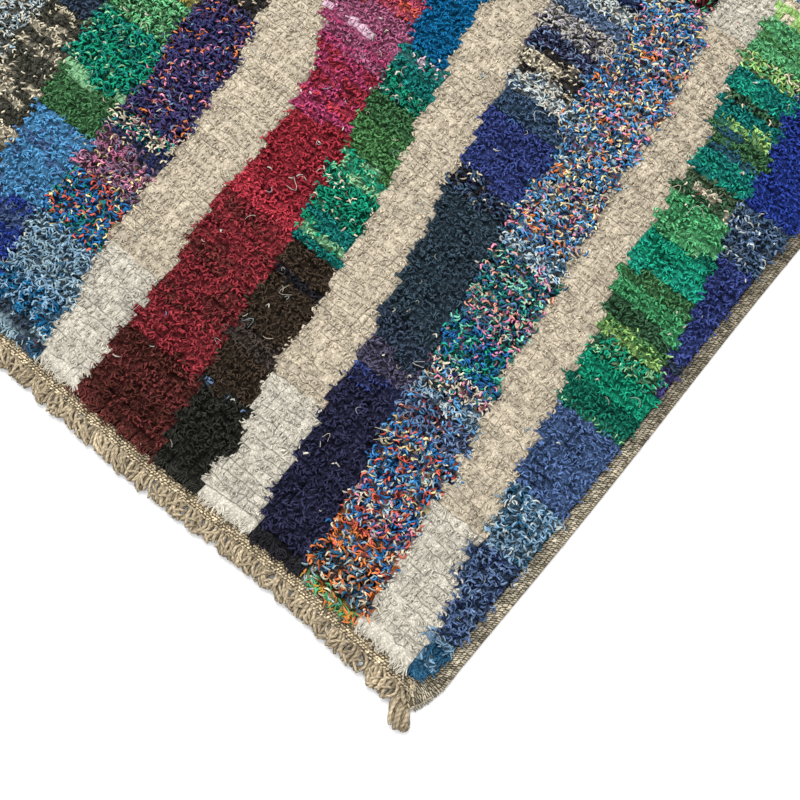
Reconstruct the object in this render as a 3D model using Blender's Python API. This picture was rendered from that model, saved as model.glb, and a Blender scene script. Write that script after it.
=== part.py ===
"""Hand-knotted wool rug, lying flat: pile field, two overcast edges, two woven ends with a looped fringe.

Metres, +Z up. The origin is the middle of the underside. X runs along the wefts (across the
rug), Y along the warps (its length). Everything rests on z = 0.
"""
import math
import random

import bmesh
import bpy

RUG_WIDTH = 1.200            # over the two overcast edges
RUG_LENGTH = 1.800           # over the tips of the corner tassels
GAP = 0.0003                 # between neighbouring pieces

PILE_TOP = 0.0105            # foundation and pile together
PILE_RIM = 0.0085            # lower at the rim, where the outer tufts lean over
RIM_WIDTH = 0.004
PILE_LUMP = 0.0005           # gentle unevenness of the clipped pile
PILE_CORNER = 0.015          # radius of the field's corners
GRID_STEP = 0.050

EDGE_WIDTH = 0.0122          # overcast edge, seen from above
BEND_RADIUS = 0.080          # the outer line of the edge bends in gently at each corner
BEND_REACH = 0.0385          # how far along the length that bend goes
STRAIGHT_STATIONS = 30
BEND_STATIONS = 6
# Section of the overcast edge: share of its width from the pile outwards, and height.
EDGE_SECTION = (
    (0.00, 0.0000),
    (0.00, 0.0034),
    (0.30, 0.0043),
    (0.65, 0.0048),
    (0.90, 0.0036),
    (1.00, 0.0019),
    (0.93, 0.0000),
)

END_WEAVE = 0.0115           # flat-woven strip between the pile and the fringe
END_WEAVE_TOP = 0.0030
TASSEL_REACH = 0.0320        # from the strip's outer line to the tip of the corner tassel
LOCK_COUNT = 120             # looped locks on each end
LOCK_LENGTH = 0.0158
LOCK_LEAN = math.radians(14)
LOCK_BELLY = 0.93            # share of the spacing that a lock fills at its widest
LOCK_TIP = 0.62
OPEN_ROOT = 0.50             # root of a lock beside a clear hole
CLOSED_ROOT = 0.86
OPEN_SHARE = 0.35            # share of the locks that stand beside a clear hole
CORNER_RUN = 0.040           # the locks grow longer over this run before each corner
CORNER_GROWTH = 0.20
# Corner tassel: its left and right side, measured from the centre of the pile's corner.
TASSEL_SECTIONS = (
    {"left": (0.0050, 0.0478), "right": (0.0180, 0.0405), "top": 0.0068},
    {"left": (0.0160, 0.0588), "right": (0.0244, 0.0520), "top": 0.0045},
)
TASSEL_ROOT_SHIFT = 0.0012

SIDE_SWAY = 0.0022           # how far the long edges wander inwards
END_SWAY = 0.0030            # how far the ends wander inwards

HALF_WIDTH = RUG_WIDTH / 2
ROOT_LINE = RUG_LENGTH / 2 - TASSEL_REACH
FIELD_HALF_LENGTH = ROOT_LINE - END_WEAVE - GAP
FIELD_HALF_WIDTH = HALF_WIDTH - EDGE_WIDTH - GAP
CORNER_X = FIELD_HALF_WIDTH - PILE_CORNER
CORNER_Y = FIELD_HALF_LENGTH - PILE_CORNER


def clear_scene():
    for item in list(bpy.data.objects):
        bpy.data.objects.remove(item, do_unlink=True)


def yarn_material(name, colour):
    material = bpy.data.materials.new(name)
    material.use_nodes = True
    shader = material.node_tree.nodes["Principled BSDF"]
    shader.inputs["Base Color"].default_value = (*colour, 1.0)
    shader.inputs["Roughness"].default_value = 0.9
    shader.inputs["Metallic"].default_value = 0.0
    material.diffuse_color = (*colour, 1.0)
    return material


def wave(share, count, phase):
    """Between 0 and 1, and 0 at the given phase, count times along an edge."""
    return 0.5 - 0.5 * math.cos(2 * math.pi * count * (share - phase))


def settle(x, y):
    """Where a point of the straight plan lies on the real rug, whose edges wander a little."""
    along = (y + RUG_LENGTH / 2) / RUG_LENGTH
    across = (x + HALF_WIDTH) / RUG_WIDTH
    side = wave(along, 4, 0.12) if x > 0 else wave(along, 3, 0.21)
    end = wave(across, 3, 0.01) if y > 0 else wave(across, 4, 0.01)
    # The tassels are the rug's furthest points, so the ends stay put near the corners.
    calm = min(1.0, max(0.0, (CORNER_X - abs(x)) / 0.10))
    return (
        x * (1 - SIDE_SWAY * side / HALF_WIDTH),
        y * (1 - END_SWAY * end * calm / ROOT_LINE),
    )


def finish_node(name, bm, material):
    """Lay a mesh out on the real plan and turn its faces outwards."""
    for vertex in bm.verts:
        vertex.co.x, vertex.co.y = settle(vertex.co.x, vertex.co.y)
    bmesh.ops.recalc_face_normals(bm, faces=bm.faces)
    mesh = bpy.data.meshes.new(name)
    bm.to_mesh(mesh)
    bm.free()
    mesh.materials.append(material)
    node = bpy.data.objects.new(name, mesh)
    bpy.context.scene.collection.objects.link(node)
    return node


def grid_lines(half, corner):
    """Lines across the field: the rim, the start of the corner arc, and even steps between."""
    inner = half - corner
    steps = round(2 * inner / GRID_STEP)
    even = [-inner + 2 * inner * i / steps for i in range(steps + 1)]
    return [-half, -half + RIM_WIDTH, *even, half - RIM_WIDTH, half]


def round_corner(x, y):
    """Turn the square corner cells of the field into rings round the corner's centre."""
    dx, dy = abs(x) - CORNER_X, abs(y) - CORNER_Y
    if dx <= 0 or dy <= 0:
        return x, y
    scale = max(dx, dy) / math.hypot(dx, dy)
    return (
        math.copysign(CORNER_X + dx * scale, x),
        math.copysign(CORNER_Y + dy * scale, y),
    )


def pile_height(x, y):
    edge = min(FIELD_HALF_WIDTH - abs(x), FIELD_HALF_LENGTH - abs(y))
    if edge < RIM_WIDTH / 2:
        return PILE_RIM
    lumps = math.sin(23 * x + 1.3) * math.sin(19 * y + 0.4) + 0.6 * math.sin(41 * x - 29 * y)
    return PILE_TOP + PILE_LUMP * lumps


def make_field():
    bm = bmesh.new()
    columns = grid_lines(FIELD_HALF_WIDTH, PILE_CORNER)
    rows = grid_lines(FIELD_HALF_LENGTH, PILE_CORNER)
    top = [
        [bm.verts.new((*round_corner(x, y), pile_height(x, y))) for x in columns]
        for y in rows
    ]
    for low, high in zip(top, top[1:]):
        for i in range(len(columns) - 1):
            bm.faces.new((low[i], low[i + 1], high[i + 1], high[i]))
    rim = top[0][:-1] + [row[-1] for row in top[:-1]]
    rim += top[-1][:0:-1] + [row[0] for row in top[:0:-1]]
    foot = [bm.verts.new((v.co.x, v.co.y, 0.0)) for v in rim]
    for i, vertex in enumerate(rim):
        after = (i + 1) % len(rim)
        bm.faces.new((vertex, foot[i], foot[after], rim[after]))
    bm.faces.new(foot)
    return finish_node("rug_field", bm, yarn_material("pile_wool", (0.135, 0.135, 0.165)))


def bend_station(reach):
    """Inner and outer point of the overcast edge in a corner, from the centre of the pile's corner."""
    outer = HALF_WIDTH - CORNER_X - (BEND_RADIUS - math.sqrt(BEND_RADIUS**2 - reach**2))
    angle = math.atan2(reach, outer)
    inner = PILE_CORNER + GAP
    return (inner * math.cos(angle), inner * math.sin(angle)), (outer, reach)


def make_edge(name, side):
    """One long edge, wrapped with yarn: a closed strip from corner to corner."""
    bend = [bend_station(BEND_REACH * i / BEND_STATIONS) for i in range(1, BEND_STATIONS + 1)]
    stations = []
    for inner, outer in reversed(bend):
        stations.append(((inner[0], -CORNER_Y - inner[1]), (outer[0], -CORNER_Y - outer[1])))
    for i in range(STRAIGHT_STATIONS + 1):
        y = CORNER_Y * (2 * i / STRAIGHT_STATIONS - 1)
        stations.append(((PILE_CORNER + GAP, y), (HALF_WIDTH - CORNER_X, y)))
    for inner, outer in bend:
        stations.append(((inner[0], CORNER_Y + inner[1]), (outer[0], CORNER_Y + outer[1])))
    bm = bmesh.new()
    rings = []
    for inner, outer in stations:
        ring = []
        for share, height in EDGE_SECTION:
            x = CORNER_X + inner[0] + share * (outer[0] - inner[0])
            y = inner[1] + share * (outer[1] - inner[1])
            ring.append(bm.verts.new((side * x, y, height)))
        rings.append(ring)
    for ring, after in zip(rings, rings[1:]):
        for i in range(len(ring)):
            j = (i + 1) % len(ring)
            bm.faces.new((ring[i], ring[j], after[j], after[i]))
    bm.faces.new(rings[0])
    bm.faces.new(rings[-1])
    return finish_node(name, bm, yarn_material(name + "_yarn", (0.42, 0.35, 0.25)))


def post(bm, x, y, top):
    """A vertex on the floor and one above it."""
    return bm.verts.new((x, y, 0.0)), bm.verts.new((x, y, top))


def wall(bm, a, b):
    bm.faces.new((a[0], b[0], b[1], a[1]))


def plate(bm, *posts):
    """Floor and top face between the posts."""
    bm.faces.new([p[0] for p in posts])
    bm.faces.new([p[1] for p in reversed(posts)])


def loft(bm, left, right, sections):
    """A four-sided lock that starts on the wall between two posts and ends in a cap."""
    for (left_at, right_at, top) in sections:
        new_left, new_right = post(bm, *left_at, top), post(bm, *right_at, top)
        plate(bm, left, right, new_right, new_left)
        wall(bm, left, new_left)
        wall(bm, right, new_right)
        left, right = new_left, new_right
    wall(bm, left, right)


def lock_sections(x, spacing, rng):
    """Belly and tip of one looped lock, which leans to +X and lies level on the floor."""
    to_corner = max(0.0, 1 - (CORNER_X - abs(x)) / CORNER_RUN)
    length = LOCK_LENGTH * (1 + CORNER_GROWTH * to_corner) * rng.uniform(0.94, 1.06)
    lean = LOCK_LEAN + math.radians(3) * math.sin(9 * x)
    sections = []
    for share, width, top in ((0.5, LOCK_BELLY, 0.0044), (1.0, LOCK_TIP, 0.0034)):
        middle = x + math.tan(lean) * length * share
        half = spacing * width / 2
        y = -ROOT_LINE - length * share
        thick = top * rng.uniform(0.95, 1.05)
        sections.append(((middle - half, y), (middle + half, y), thick))
    return sections


def tassel(bm, side, root_near, root_far):
    """The knotted tassel at a corner, which leans outwards."""
    sections = []
    for part in TASSEL_SECTIONS:
        near, far = part["left"], part["right"]
        sections.append((
            (side * (CORNER_X + near[0]), -CORNER_Y - near[1]),
            (side * (CORNER_X + far[0]), -CORNER_Y - far[1]),
            part["top"],
        ))
    loft(bm, root_near, root_far, sections)


def strip_end(bm, side):
    """Posts where the woven strip ends against the overcast edge, and where the tassel starts."""
    inner, outer = bend_station(BEND_REACH)
    away = math.atan2(inner[1], inner[0])
    shift = (-math.sin(away) * GAP, math.cos(away) * GAP)
    x_in, y_in = inner[0] + shift[0], inner[1] + shift[1]
    x_out, y_out = outer[0] + shift[0], outer[1] + shift[1]
    end_in = post(bm, side * (CORNER_X + x_in), -CORNER_Y - y_in, END_WEAVE_TOP)
    end_out = post(bm, side * (CORNER_X + x_out), -CORNER_Y - y_out, END_WEAVE_TOP)
    start = post(bm, side * (CORNER_X + TASSEL_ROOT_SHIFT), -ROOT_LINE, END_WEAVE_TOP)
    return end_in, end_out, start


def make_fringe(name, turn, seed):
    """Woven strip with its looped locks and two corner tassels, built at the front and turned."""
    rng = random.Random(seed)
    bm = bmesh.new()
    spacing = 2 * CORNER_X / LOCK_COUNT
    inner = [
        post(bm, -CORNER_X + spacing * i, -FIELD_HALF_LENGTH - GAP, END_WEAVE_TOP)
        for i in range(LOCK_COUNT + 1)
    ]
    roots = []
    for i in range(LOCK_COUNT):
        x = -CORNER_X + spacing * (i + 0.5)
        width = OPEN_ROOT if rng.random() < OPEN_SHARE else CLOSED_ROOT
        half = spacing * width / 2
        left = post(bm, x - half, -ROOT_LINE, END_WEAVE_TOP)
        right = post(bm, x + half, -ROOT_LINE, END_WEAVE_TOP)
        roots.append((left, right))
        plate(bm, inner[i], left, right, inner[i + 1])
        wall(bm, inner[i], inner[i + 1])
        loft(bm, left, right, lock_sections(x, spacing, rng))
    for i in range(LOCK_COUNT - 1):
        plate(bm, inner[i + 1], roots[i][1], roots[i + 1][0])
        wall(bm, roots[i][1], roots[i + 1][0])
    for side, first, beside in ((-1, inner[0], roots[0][0]), (1, inner[-1], roots[-1][1])):
        end_in, end_out, start = strip_end(bm, side)
        plate(bm, first, beside, start)
        plate(bm, first, start, end_out, end_in)
        wall(bm, beside, start)
        wall(bm, first, end_in)
        wall(bm, end_in, end_out)
        tassel(bm, side, start, end_out)
    if turn:
        for vertex in bm.verts:
            vertex.co.x, vertex.co.y = -vertex.co.x, -vertex.co.y
    return finish_node(name, bm, yarn_material(name + "_yarn", (0.46, 0.38, 0.26)))


clear_scene()
make_field()
make_edge("selvedge_right", 1)
make_edge("selvedge_left", -1)
make_fringe("fringe_front", turn=False, seed=11)
make_fringe("fringe_back", turn=True, seed=12)
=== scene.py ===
# %% [markdown]
# A hand-knotted wool rug, laid flat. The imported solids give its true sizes, and this file gives it what the
# eye sees: tens of thousands of knots, each a tuft of clipped yarn, in stripes that wander up the rug;
# edges overcast in natural yarn; a woven strip and a looped fringe at each end.
# The sizes that the solids are made from are repeated here, because a weaver also works from them.

# %% Frame and sizes
import math
import random

import bpy
import numpy as np
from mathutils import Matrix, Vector


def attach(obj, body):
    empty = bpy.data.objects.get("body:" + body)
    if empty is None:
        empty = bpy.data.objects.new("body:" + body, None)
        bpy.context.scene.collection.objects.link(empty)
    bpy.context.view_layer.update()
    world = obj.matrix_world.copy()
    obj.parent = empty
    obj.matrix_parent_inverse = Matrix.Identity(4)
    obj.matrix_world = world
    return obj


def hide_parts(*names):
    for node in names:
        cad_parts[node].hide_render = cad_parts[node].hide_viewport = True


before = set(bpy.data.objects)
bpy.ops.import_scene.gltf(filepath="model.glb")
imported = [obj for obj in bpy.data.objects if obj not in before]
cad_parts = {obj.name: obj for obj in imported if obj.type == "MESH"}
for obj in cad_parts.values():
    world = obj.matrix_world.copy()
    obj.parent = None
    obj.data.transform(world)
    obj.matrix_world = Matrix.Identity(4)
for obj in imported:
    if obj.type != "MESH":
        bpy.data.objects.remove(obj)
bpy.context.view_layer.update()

RUG_WIDTH, RUG_LENGTH = 1.200, 1.800
HALF_WIDTH = RUG_WIDTH / 2
ROOT_LINE = 0.868                 # where the fringe leaves the woven end
FIELD_HALF_WIDTH, FIELD_HALF_LENGTH = 0.5875, 0.8562
PILE_CORNER = 0.015               # radius of the pile's own corners
CORNER_X, CORNER_Y = FIELD_HALF_WIDTH - PILE_CORNER, FIELD_HALF_LENGTH - PILE_CORNER
PILE_TOP = 0.0105
CLOTH_TOP = 0.0026                # the woven ground that the knots sit on
SIDE_SWAY, END_SWAY = 0.0022, 0.0030

# %% [markdown]
# Nothing hand-woven is straight. The edges of the rug pull in and out by two or three millimetres, so every
# point of it, pile and yarn alike, is laid out on a true rectangle first and then passed through one
# function. The same gentle sway is in the solids.

# %% The lay of the rug
def wave(share, count, phase):
    return 0.5 - 0.5 * np.cos(2 * np.pi * count * (share - phase))


def settle(x, y):
    """Moves points of the true rectangle to where they lie on the floor."""
    x, y = np.asarray(x, float), np.asarray(y, float)
    along, across = (y + RUG_LENGTH / 2) / RUG_LENGTH, (x + HALF_WIDTH) / RUG_WIDTH
    side = np.where(x > 0, wave(along, 4, 0.12), wave(along, 3, 0.21))
    end = np.where(y > 0, wave(across, 3, 0.01), wave(across, 4, 0.01))
    calm = np.clip((CORNER_X - np.abs(x)) / 0.10, 0, 1)
    return x * (1 - SIDE_SWAY * side / HALF_WIDTH), y * (1 - END_SWAY * end * calm / ROOT_LINE)


def round_corner(x, y):
    """Draws the square corner of the knot grid in to the round corner of the pile."""
    x, y = np.asarray(x, float), np.asarray(y, float)
    dx, dy = np.abs(x) - CORNER_X, np.abs(y) - CORNER_Y
    inside = (dx > 0) & (dy > 0)
    scale = np.where(inside, np.maximum(dx, dy) / np.maximum(np.hypot(dx, dy), 1e-9), 1)
    return (np.where(inside, np.copysign(CORNER_X + dx * scale, x), x),
            np.where(inside, np.copysign(CORNER_Y + dy * scale, y), y))


# %% [markdown]
# The camera looks steeply down on the front right corner of the rug, as a person does who stands beside it.
# A broad soft lamp hangs over a bright, even room, so the wool shows its own colours and only the small gaps
# between the tufts are dark. The floor is pale and plain.

# %% Camera, floor and light
CAMERA_AZIMUTH, CAMERA_ELEVATION = math.radians(39.65), math.radians(69.7)
CAMERA_DISTANCE, CAMERA_LENS = 1.03, 60.885
AIM = Vector((0.4348, -0.7041, 0.0))
back = Vector((math.sin(CAMERA_AZIMUTH) * math.cos(CAMERA_ELEVATION),
               -math.cos(CAMERA_AZIMUTH) * math.cos(CAMERA_ELEVATION), math.sin(CAMERA_ELEVATION)))
camera_data = bpy.data.cameras.new("camera")
camera_data.lens, camera_data.sensor_width = CAMERA_LENS, 36
camera_data.clip_start, camera_data.clip_end = 0.01, 50
camera = bpy.data.objects.new("camera", camera_data)
camera.location = AIM + back * CAMERA_DISTANCE
camera.rotation_euler = (-back).to_track_quat("-Z", "Y").to_euler()
bpy.context.collection.objects.link(camera)
bpy.context.scene.camera = camera
bpy.context.scene.view_settings.view_transform = "Standard"

world = bpy.data.worlds.new("bright_room")
world.use_nodes = True
world.node_tree.nodes["Background"].inputs["Color"].default_value = (1.0, 1.0, 1.0, 1)
world.node_tree.nodes["Background"].inputs["Strength"].default_value = 1.25
bpy.context.scene.world = world


def hang_lamp(name, place, target, size, watts):
    lamp_data = bpy.data.lights.new(name, "AREA")
    lamp_data.shape, lamp_data.size, lamp_data.energy = "DISK", size, watts
    lamp = bpy.data.objects.new(name, lamp_data)
    lamp.location = place
    lamp.rotation_euler = (Vector(target) - Vector(place)).to_track_quat("-Z", "Y").to_euler()
    bpy.context.collection.objects.link(lamp)


hang_lamp("soft_lamp", (-0.9, 0.5, 2.6), (0.3, -0.5, 0), 2.0, 68)


def feed(node, inputs):
    """Sets a node's inputs, each by a value or by a link from another node's output."""
    for socket, value in inputs.items():
        if isinstance(value, bpy.types.NodeSocket):
            node.id_data.links.new(value, node.inputs[socket])
        else:
            node.inputs[socket].default_value = value


def node_tools(tree):
    """A helper that adds a node with its inputs and settings, and one that adds a Math node."""

    def add(kind, inputs=None, **settings):
        node = tree.nodes.new(kind)
        for key, value in settings.items():
            setattr(node, key, value)
        feed(node, inputs or {})
        return node

    def calculate(operation, *terms):
        return add("ShaderNodeMath", dict(enumerate(terms)), operation=operation).outputs["Value"]

    return add, calculate


def new_material(name):
    """A matt node material, its shader and the two helpers for its nodes."""
    material = bpy.data.materials.new(name)
    material.use_nodes = True
    shader = material.node_tree.nodes["Principled BSDF"]
    shader.inputs["Roughness"].default_value = 0.9
    return (material, shader, *node_tools(material.node_tree))


def mesh_object(name, points, faces, material=None):
    mesh = bpy.data.meshes.new(name)
    mesh.from_pydata(points, [], faces)
    mesh.validate()
    mesh.update()
    piece = bpy.data.objects.new(name, mesh)
    bpy.context.collection.objects.link(piece)
    if material:
        mesh.materials.append(material)
    return piece


floor_material, floor_shader, _, _ = new_material("pale_floor")
floor_shader.inputs["Base Color"].default_value = (0.93, 0.93, 0.93, 1)
FLOOR_HALF, FLOOR_LEVEL = 6.0, -0.0004
floor_corners = [(x * FLOOR_HALF, y * FLOOR_HALF, FLOOR_LEVEL)
                 for x, y in ((-1, -1), (1, -1), (1, 1), (-1, 1))]
floor = mesh_object("floor", floor_corners, [(0, 1, 2, 3)], floor_material)
print("camera at", [round(v, 3) for v in camera.location])

# %% [markdown]
# A weaver starts from dyed yarn. This card gives each dye a plain name and its colour, in the 0 to 255 steps
# of a screen. It was written by hand from the measured colours of whole bands of the photograph, and then
# corrected by comparing the same bands in renders. Real skeins are never even, which is done later, knot by
# knot.

# %% The yarn card
YARNS = {
    "white": (202, 196, 182), "cream": (214, 203, 178), "beige": (197, 185, 164), "ice": (188, 198, 198),
    "powder": (150, 176, 186), "lilac_grey": (172, 170, 174),
    "coal": (44, 43, 48), "black_green": (53, 54, 48), "charcoal": (73, 75, 66), "ink": (56, 57, 85),
    "dusk": (82, 80, 104), "plum_slate": (94, 91, 114), "slate": (74, 98, 126), "slate_dark": (66, 80, 99),
    "steel": (110, 132, 164), "deep_teal": (64, 82, 95),
    "petrol": (54, 102, 134), "denim": (88, 110, 148), "sky": (130, 164, 190), "azure": (92, 158, 206),
    "cobalt": (90, 116, 163), "blue": (48, 116, 178), "royal": (51, 74, 164), "navy": (44, 54, 96),
    "indigo": (68, 82, 146), "violet": (78, 74, 128), "purple": (76, 70, 118), "ocean": (24, 114, 166),
    "bottle": (32, 124, 102), "emerald": (32, 157, 122), "jade": (44, 176, 148), "mint": (142, 196, 148),
    "lime": (160, 202, 120), "leaf": (106, 186, 128), "moss": (82, 168, 112), "fern": (88, 142, 87),
    "forest": (77, 126, 82), "night_green": (68, 108, 78), "teal": (36, 134, 127), "olive": (84, 106, 80),
    "mustard": (166, 156, 84), "seafoam": (132, 206, 180), "ochre": (192, 146, 64), "straw": (234, 216, 158),
    "espresso": (74, 62, 51), "grey_brown": (84, 74, 68), "maroon": (116, 58, 56), "wine": (92, 50, 44),
    "crimson": (160, 60, 68), "rose": (204, 70, 84), "red": (175, 58, 70), "pink": (188, 76, 120),
    "raspberry": (190, 84, 110), "plum": (180, 104, 138), "lilac": (138, 104, 126), "blush": (224, 188, 206),
    "candy": (222, 140, 168), "peach": (224, 162, 142), "coral": (218, 102, 84), "orange": (222, 130, 74),
    "rust": (162, 84, 54),
}


def linear(colour):
    """Screen steps to the linear light that Blender mixes in."""
    share = np.asarray(colour, float) / 255
    return np.where(share <= 0.04045, share / 12.92, ((share + 0.055) / 1.055) ** 2.4)


YARN_NAMES = list(YARNS)
DYES = np.array([linear(YARNS[name]) for name in YARN_NAMES])
print(len(YARN_NAMES), "yarns on the card")

# %% [markdown]
# The pattern is the common one of long stripes that drift sideways as the weaving goes on, and change
# colour every few centimetres, as the weaver takes up another skein. Two charts hold it, read off the
# photograph: where the border of each stripe runs, and the skeins of each stripe in turn. Lengths are
# in millimetres, in from the right-hand edge and up from the front end. A skein can be one yarn, or a mix
# such as "emerald 7 mint 3".

# %% The weaver's chart
CHART_ROWS = (0, 50, 100, 150, 200, 250, 300, 350, 400, 450, 500, 550, 600)
BORDERS = (     # from the right: what the border parts, and how far in it lies at each of CHART_ROWS
    ("dawn | indigo",   (-90, -84, -79, -75, -71, -65, -54, -33, -20, -6, -1, 13, 20)),
    ("indigo | denim",  (-27, -21, -15, -11, -7, 2, 21, 33, 44, 58, 63, 77, 84)),
    ("denim | birch",   (28, 35, 46, 57, 67, 77, 82, 100, 104, 111, 117, 137, 144)),
    ("birch | bazaar",  (75, 82, 92, 100, 111, 122, 127, 135, 144, 150, 159, 169, 186)),
    ("bazaar | night",  (131, 139, 150, 160, 170, 180, 187, 200, 202, 221, 225, 231, 245)),
    ("night | birch",   (183, 192, 201, 212, 220, 235, 247, 257, 268, 280, 292, 305, 315)),
    ("birch | grove",   (233, 237, 250, 261, 269, 281, 289, 305, 318, 332, 337, 350, 362)),
    ("grove | ember",   (277, 284, 297, 307, 317, 331, 336, 355, 363, 375, 387, 400, 412)),
    ("ember | birch",   (359, 362, 369, 376, 389, 392, 397, 412, 443, 452, 464, 478, 490)),
    ("birch | berry",   (400, 409, 427, 436, 443, 450, 459, 475, 490, 502, 512, 526, 538)),
    ("berry | sea",     (468, 476, 492, 497, 505, 507, 522, 525, 545, 556, 568, 580, 594)),
    ("sea | ash",       (530, 536, 544, 555, 570, 583, 590, 603, 618, 628, 640, 652, 664)),
)
LEFT_STRIPES = (("ash", 46), ("mist", 48), ("sea", 60), ("berry", 56), ("birch", 46), ("night", 66),
                ("bazaar", 52), ("birch", 48), ("grove", 60), ("sea", 56), ("birch", 46), ("ember", 90))
WANDER = ((0, 0), (150, 27), (300, 52), (450, 76), (600, 112), (800, 128), (1000, 104), (1200, 62),
          (1400, 52), (1600, 84), (1740, 110))      # how the stripes go on where the chart ends

SKEINS = {      # each stripe's skeins from the front: where it ends, and its yarn or mix
    "dawn": ((118, "white"), (560, "beige"), (9999, "white")),
    "indigo": ((312, "violet"), (325, "slate_dark"), (420, "indigo"), (470, "slate 7 steel 2 ice 1"),
               (580, "royal"), (640, "cobalt")),
    "denim": ((22, "petrol"), (30, "petrol 6 sky 4"), (38, "petrol"), (46, "sky 9 denim 1"),
              (118, "denim 7 steel 2 navy 1"), (168, "sky 6 ice 2 petrol 2"), (240, "cobalt"),
               (250, "bottle 7 mint 3"), (265, "bottle"), (290, "emerald"),
              (305, "emerald 5 mint 3 olive 2"), (324, "lime 3 fern 7"), (335, "night_green"), (358, "moss"),
              (370, "forest 7 moss 3"), (400, "jade 5 emerald 5"), (410, "bottle"),
              (445, "leaf 4 moss 6"), (453, "night_green"), (462, "night_green 6 cream 4"), (470, "olive"),
              (490, "teal 7 jade 3"), (518, "forest 8 petrol 2"), (531, "lime 4 teal 6"),
              (540, "teal"), (550, "night_green 12 coal 2 cream 1"), (578, "teal 5 jade 5"),
              (592, "lime 6 cream 2 leaf 2"), (635, "leaf 8 fern 2"), (660, "lime 7 cream 3")),
    "birch": ((119, "white"), (590, "beige"), (760, "white"), (9999, "beige")),
    "bazaar": ((25, "moss 2 ochre 2 orange 2 powder 1 cream 1 olive 3"),
               (50, "orange 3 powder 2 petrol 3 cream 1 rust 1 coal 1"),
               (75, "blue 2 orange 3 coral 1 powder 2 cream 2 maroon 1"),
               (100, "blue 3 coral 3 powder 2 candy 1 navy 1 cream 2"),
               (150, "blue 4 azure 2 coral 2 cream 1 straw 1 powder 1 navy 1"),
               (175, "denim 4 steel 3 maroon 1 peach 1 azure 1"), (190, "sky 6 ice 3 azure 1"),
               (215, "navy 2 cream 3 white 2 candy 1 peach 1 azure 2 teal 1"),
               (250, "blue 3 teal 2 jade 2 seafoam 1 candy 1 navy 1"),
               (320, "petrol 3 teal 2 candy 1 seafoam 2 cobalt 1 coal 1 peach 1 cream 1"),
               (335, "ice 6 sky 5 petrol 1"),
               (600, "azure 3 blue 2 orange 1 cream 2 candy 1 denim 2 powder 1 straw 1"),
               (660, "coal 4 red 3 moss 3")),
    "night": ((22, "coal 19 ice 1"), (150, "ink"), (165, "indigo 5 ink 5"), (175, "dusk 7 plum 3"),
              (188, "plum_slate"), (215, "slate_dark"), (335, "deep_teal"),
              (352, "coal 6 slate 8 ink 4 cream 1"),
              (410, "indigo"), (440, "slate"), (458, "ice 6 white 3 slate 1"), (480, "coal 7 cream 3"),
              (500, "ink 4 steel 5 dusk 1"), (525, "lilac_grey 5 white 4 dusk 1"), (541, "steel"),
              (558, "ice 6 white 3 slate 1"), (570, "navy 5 cobalt 5"),
              (640, "ink")),
    "grove": ((80, "black_green"), (86, "black_green 9 steel 1"), (120, "espresso"), (140, "grey_brown"),
              (185, "espresso"), (192, "coal"), (215, "espresso"), (227, "teal 8 bottle 2"),
              (240, "mint 5 emerald 5"), (250, "teal"), (284, "emerald 6 bottle 3 cream 1"),
              (302, "mint 5 emerald 5"),
              (340, "fern"), (365, "forest"), (385, "bottle 5 emerald 2 white 1"), (398, "teal"),
              (412, "teal 14 blush 2"), (490, "ocean"), (540, "bottle"), (600, "moss 8 lime 2")),
    "ember": ((80, "wine 6 maroon 4"), (120, "crimson 8 wine 2"), (210, "crimson 7 maroon 3"),
              (235, "rose"), (310, "red"), (330, "pink 7 rose 3"), (375, "red 5 pink 5"),
              (400, "plum 6 pink 4"), (406, "blush 5 plum 5"), (425, "plum"), (450, "raspberry 7 coral 3"),
              (500, "crimson"), (560, "maroon 7 rose 3")),
    "berry": ((20, "slate_dark 5 petrol 3 powder 1 rust 1"), (30, "powder 4 slate_dark 6"),
              (55, "petrol 3 sky 4 ocean 3"), (100, "sky 6 powder 3 petrol 1"),
              (150, "blue 5 coral 2 straw 1 teal 2"), (190, "lilac 6 steel 1 candy 1 straw 1 plum 1"),
              (205, "navy 7 cream 3"),
              (215, "cream 3 plum 1 teal 2 navy 3"), (350, "purple 8 navy 2 steel 1 orange 1 candy 1"),
              (380, "coal 7 cream 3"), (450, "violet 7 plum 3")),
    "sea": ((100, "royal 6 denim 4"), (178, "azure 8 cobalt 2"), (215, "forest"), (225, "mint 7 forest 3"),
            (285, "teal 3 emerald 5 mint 1 bottle 1"), (320, "leaf 5 forest 3 mint 2"),
            (345, "mustard 7 olive 3"), (430, "petrol")),
    "ash": ((260, "charcoal 7 cream 3"), (330, "slate_dark"), (400, "powder 6 ice 4")),
    "mist": ((9999, "ice 4 charcoal 3 cream 2 powder 1"),),
}
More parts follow.
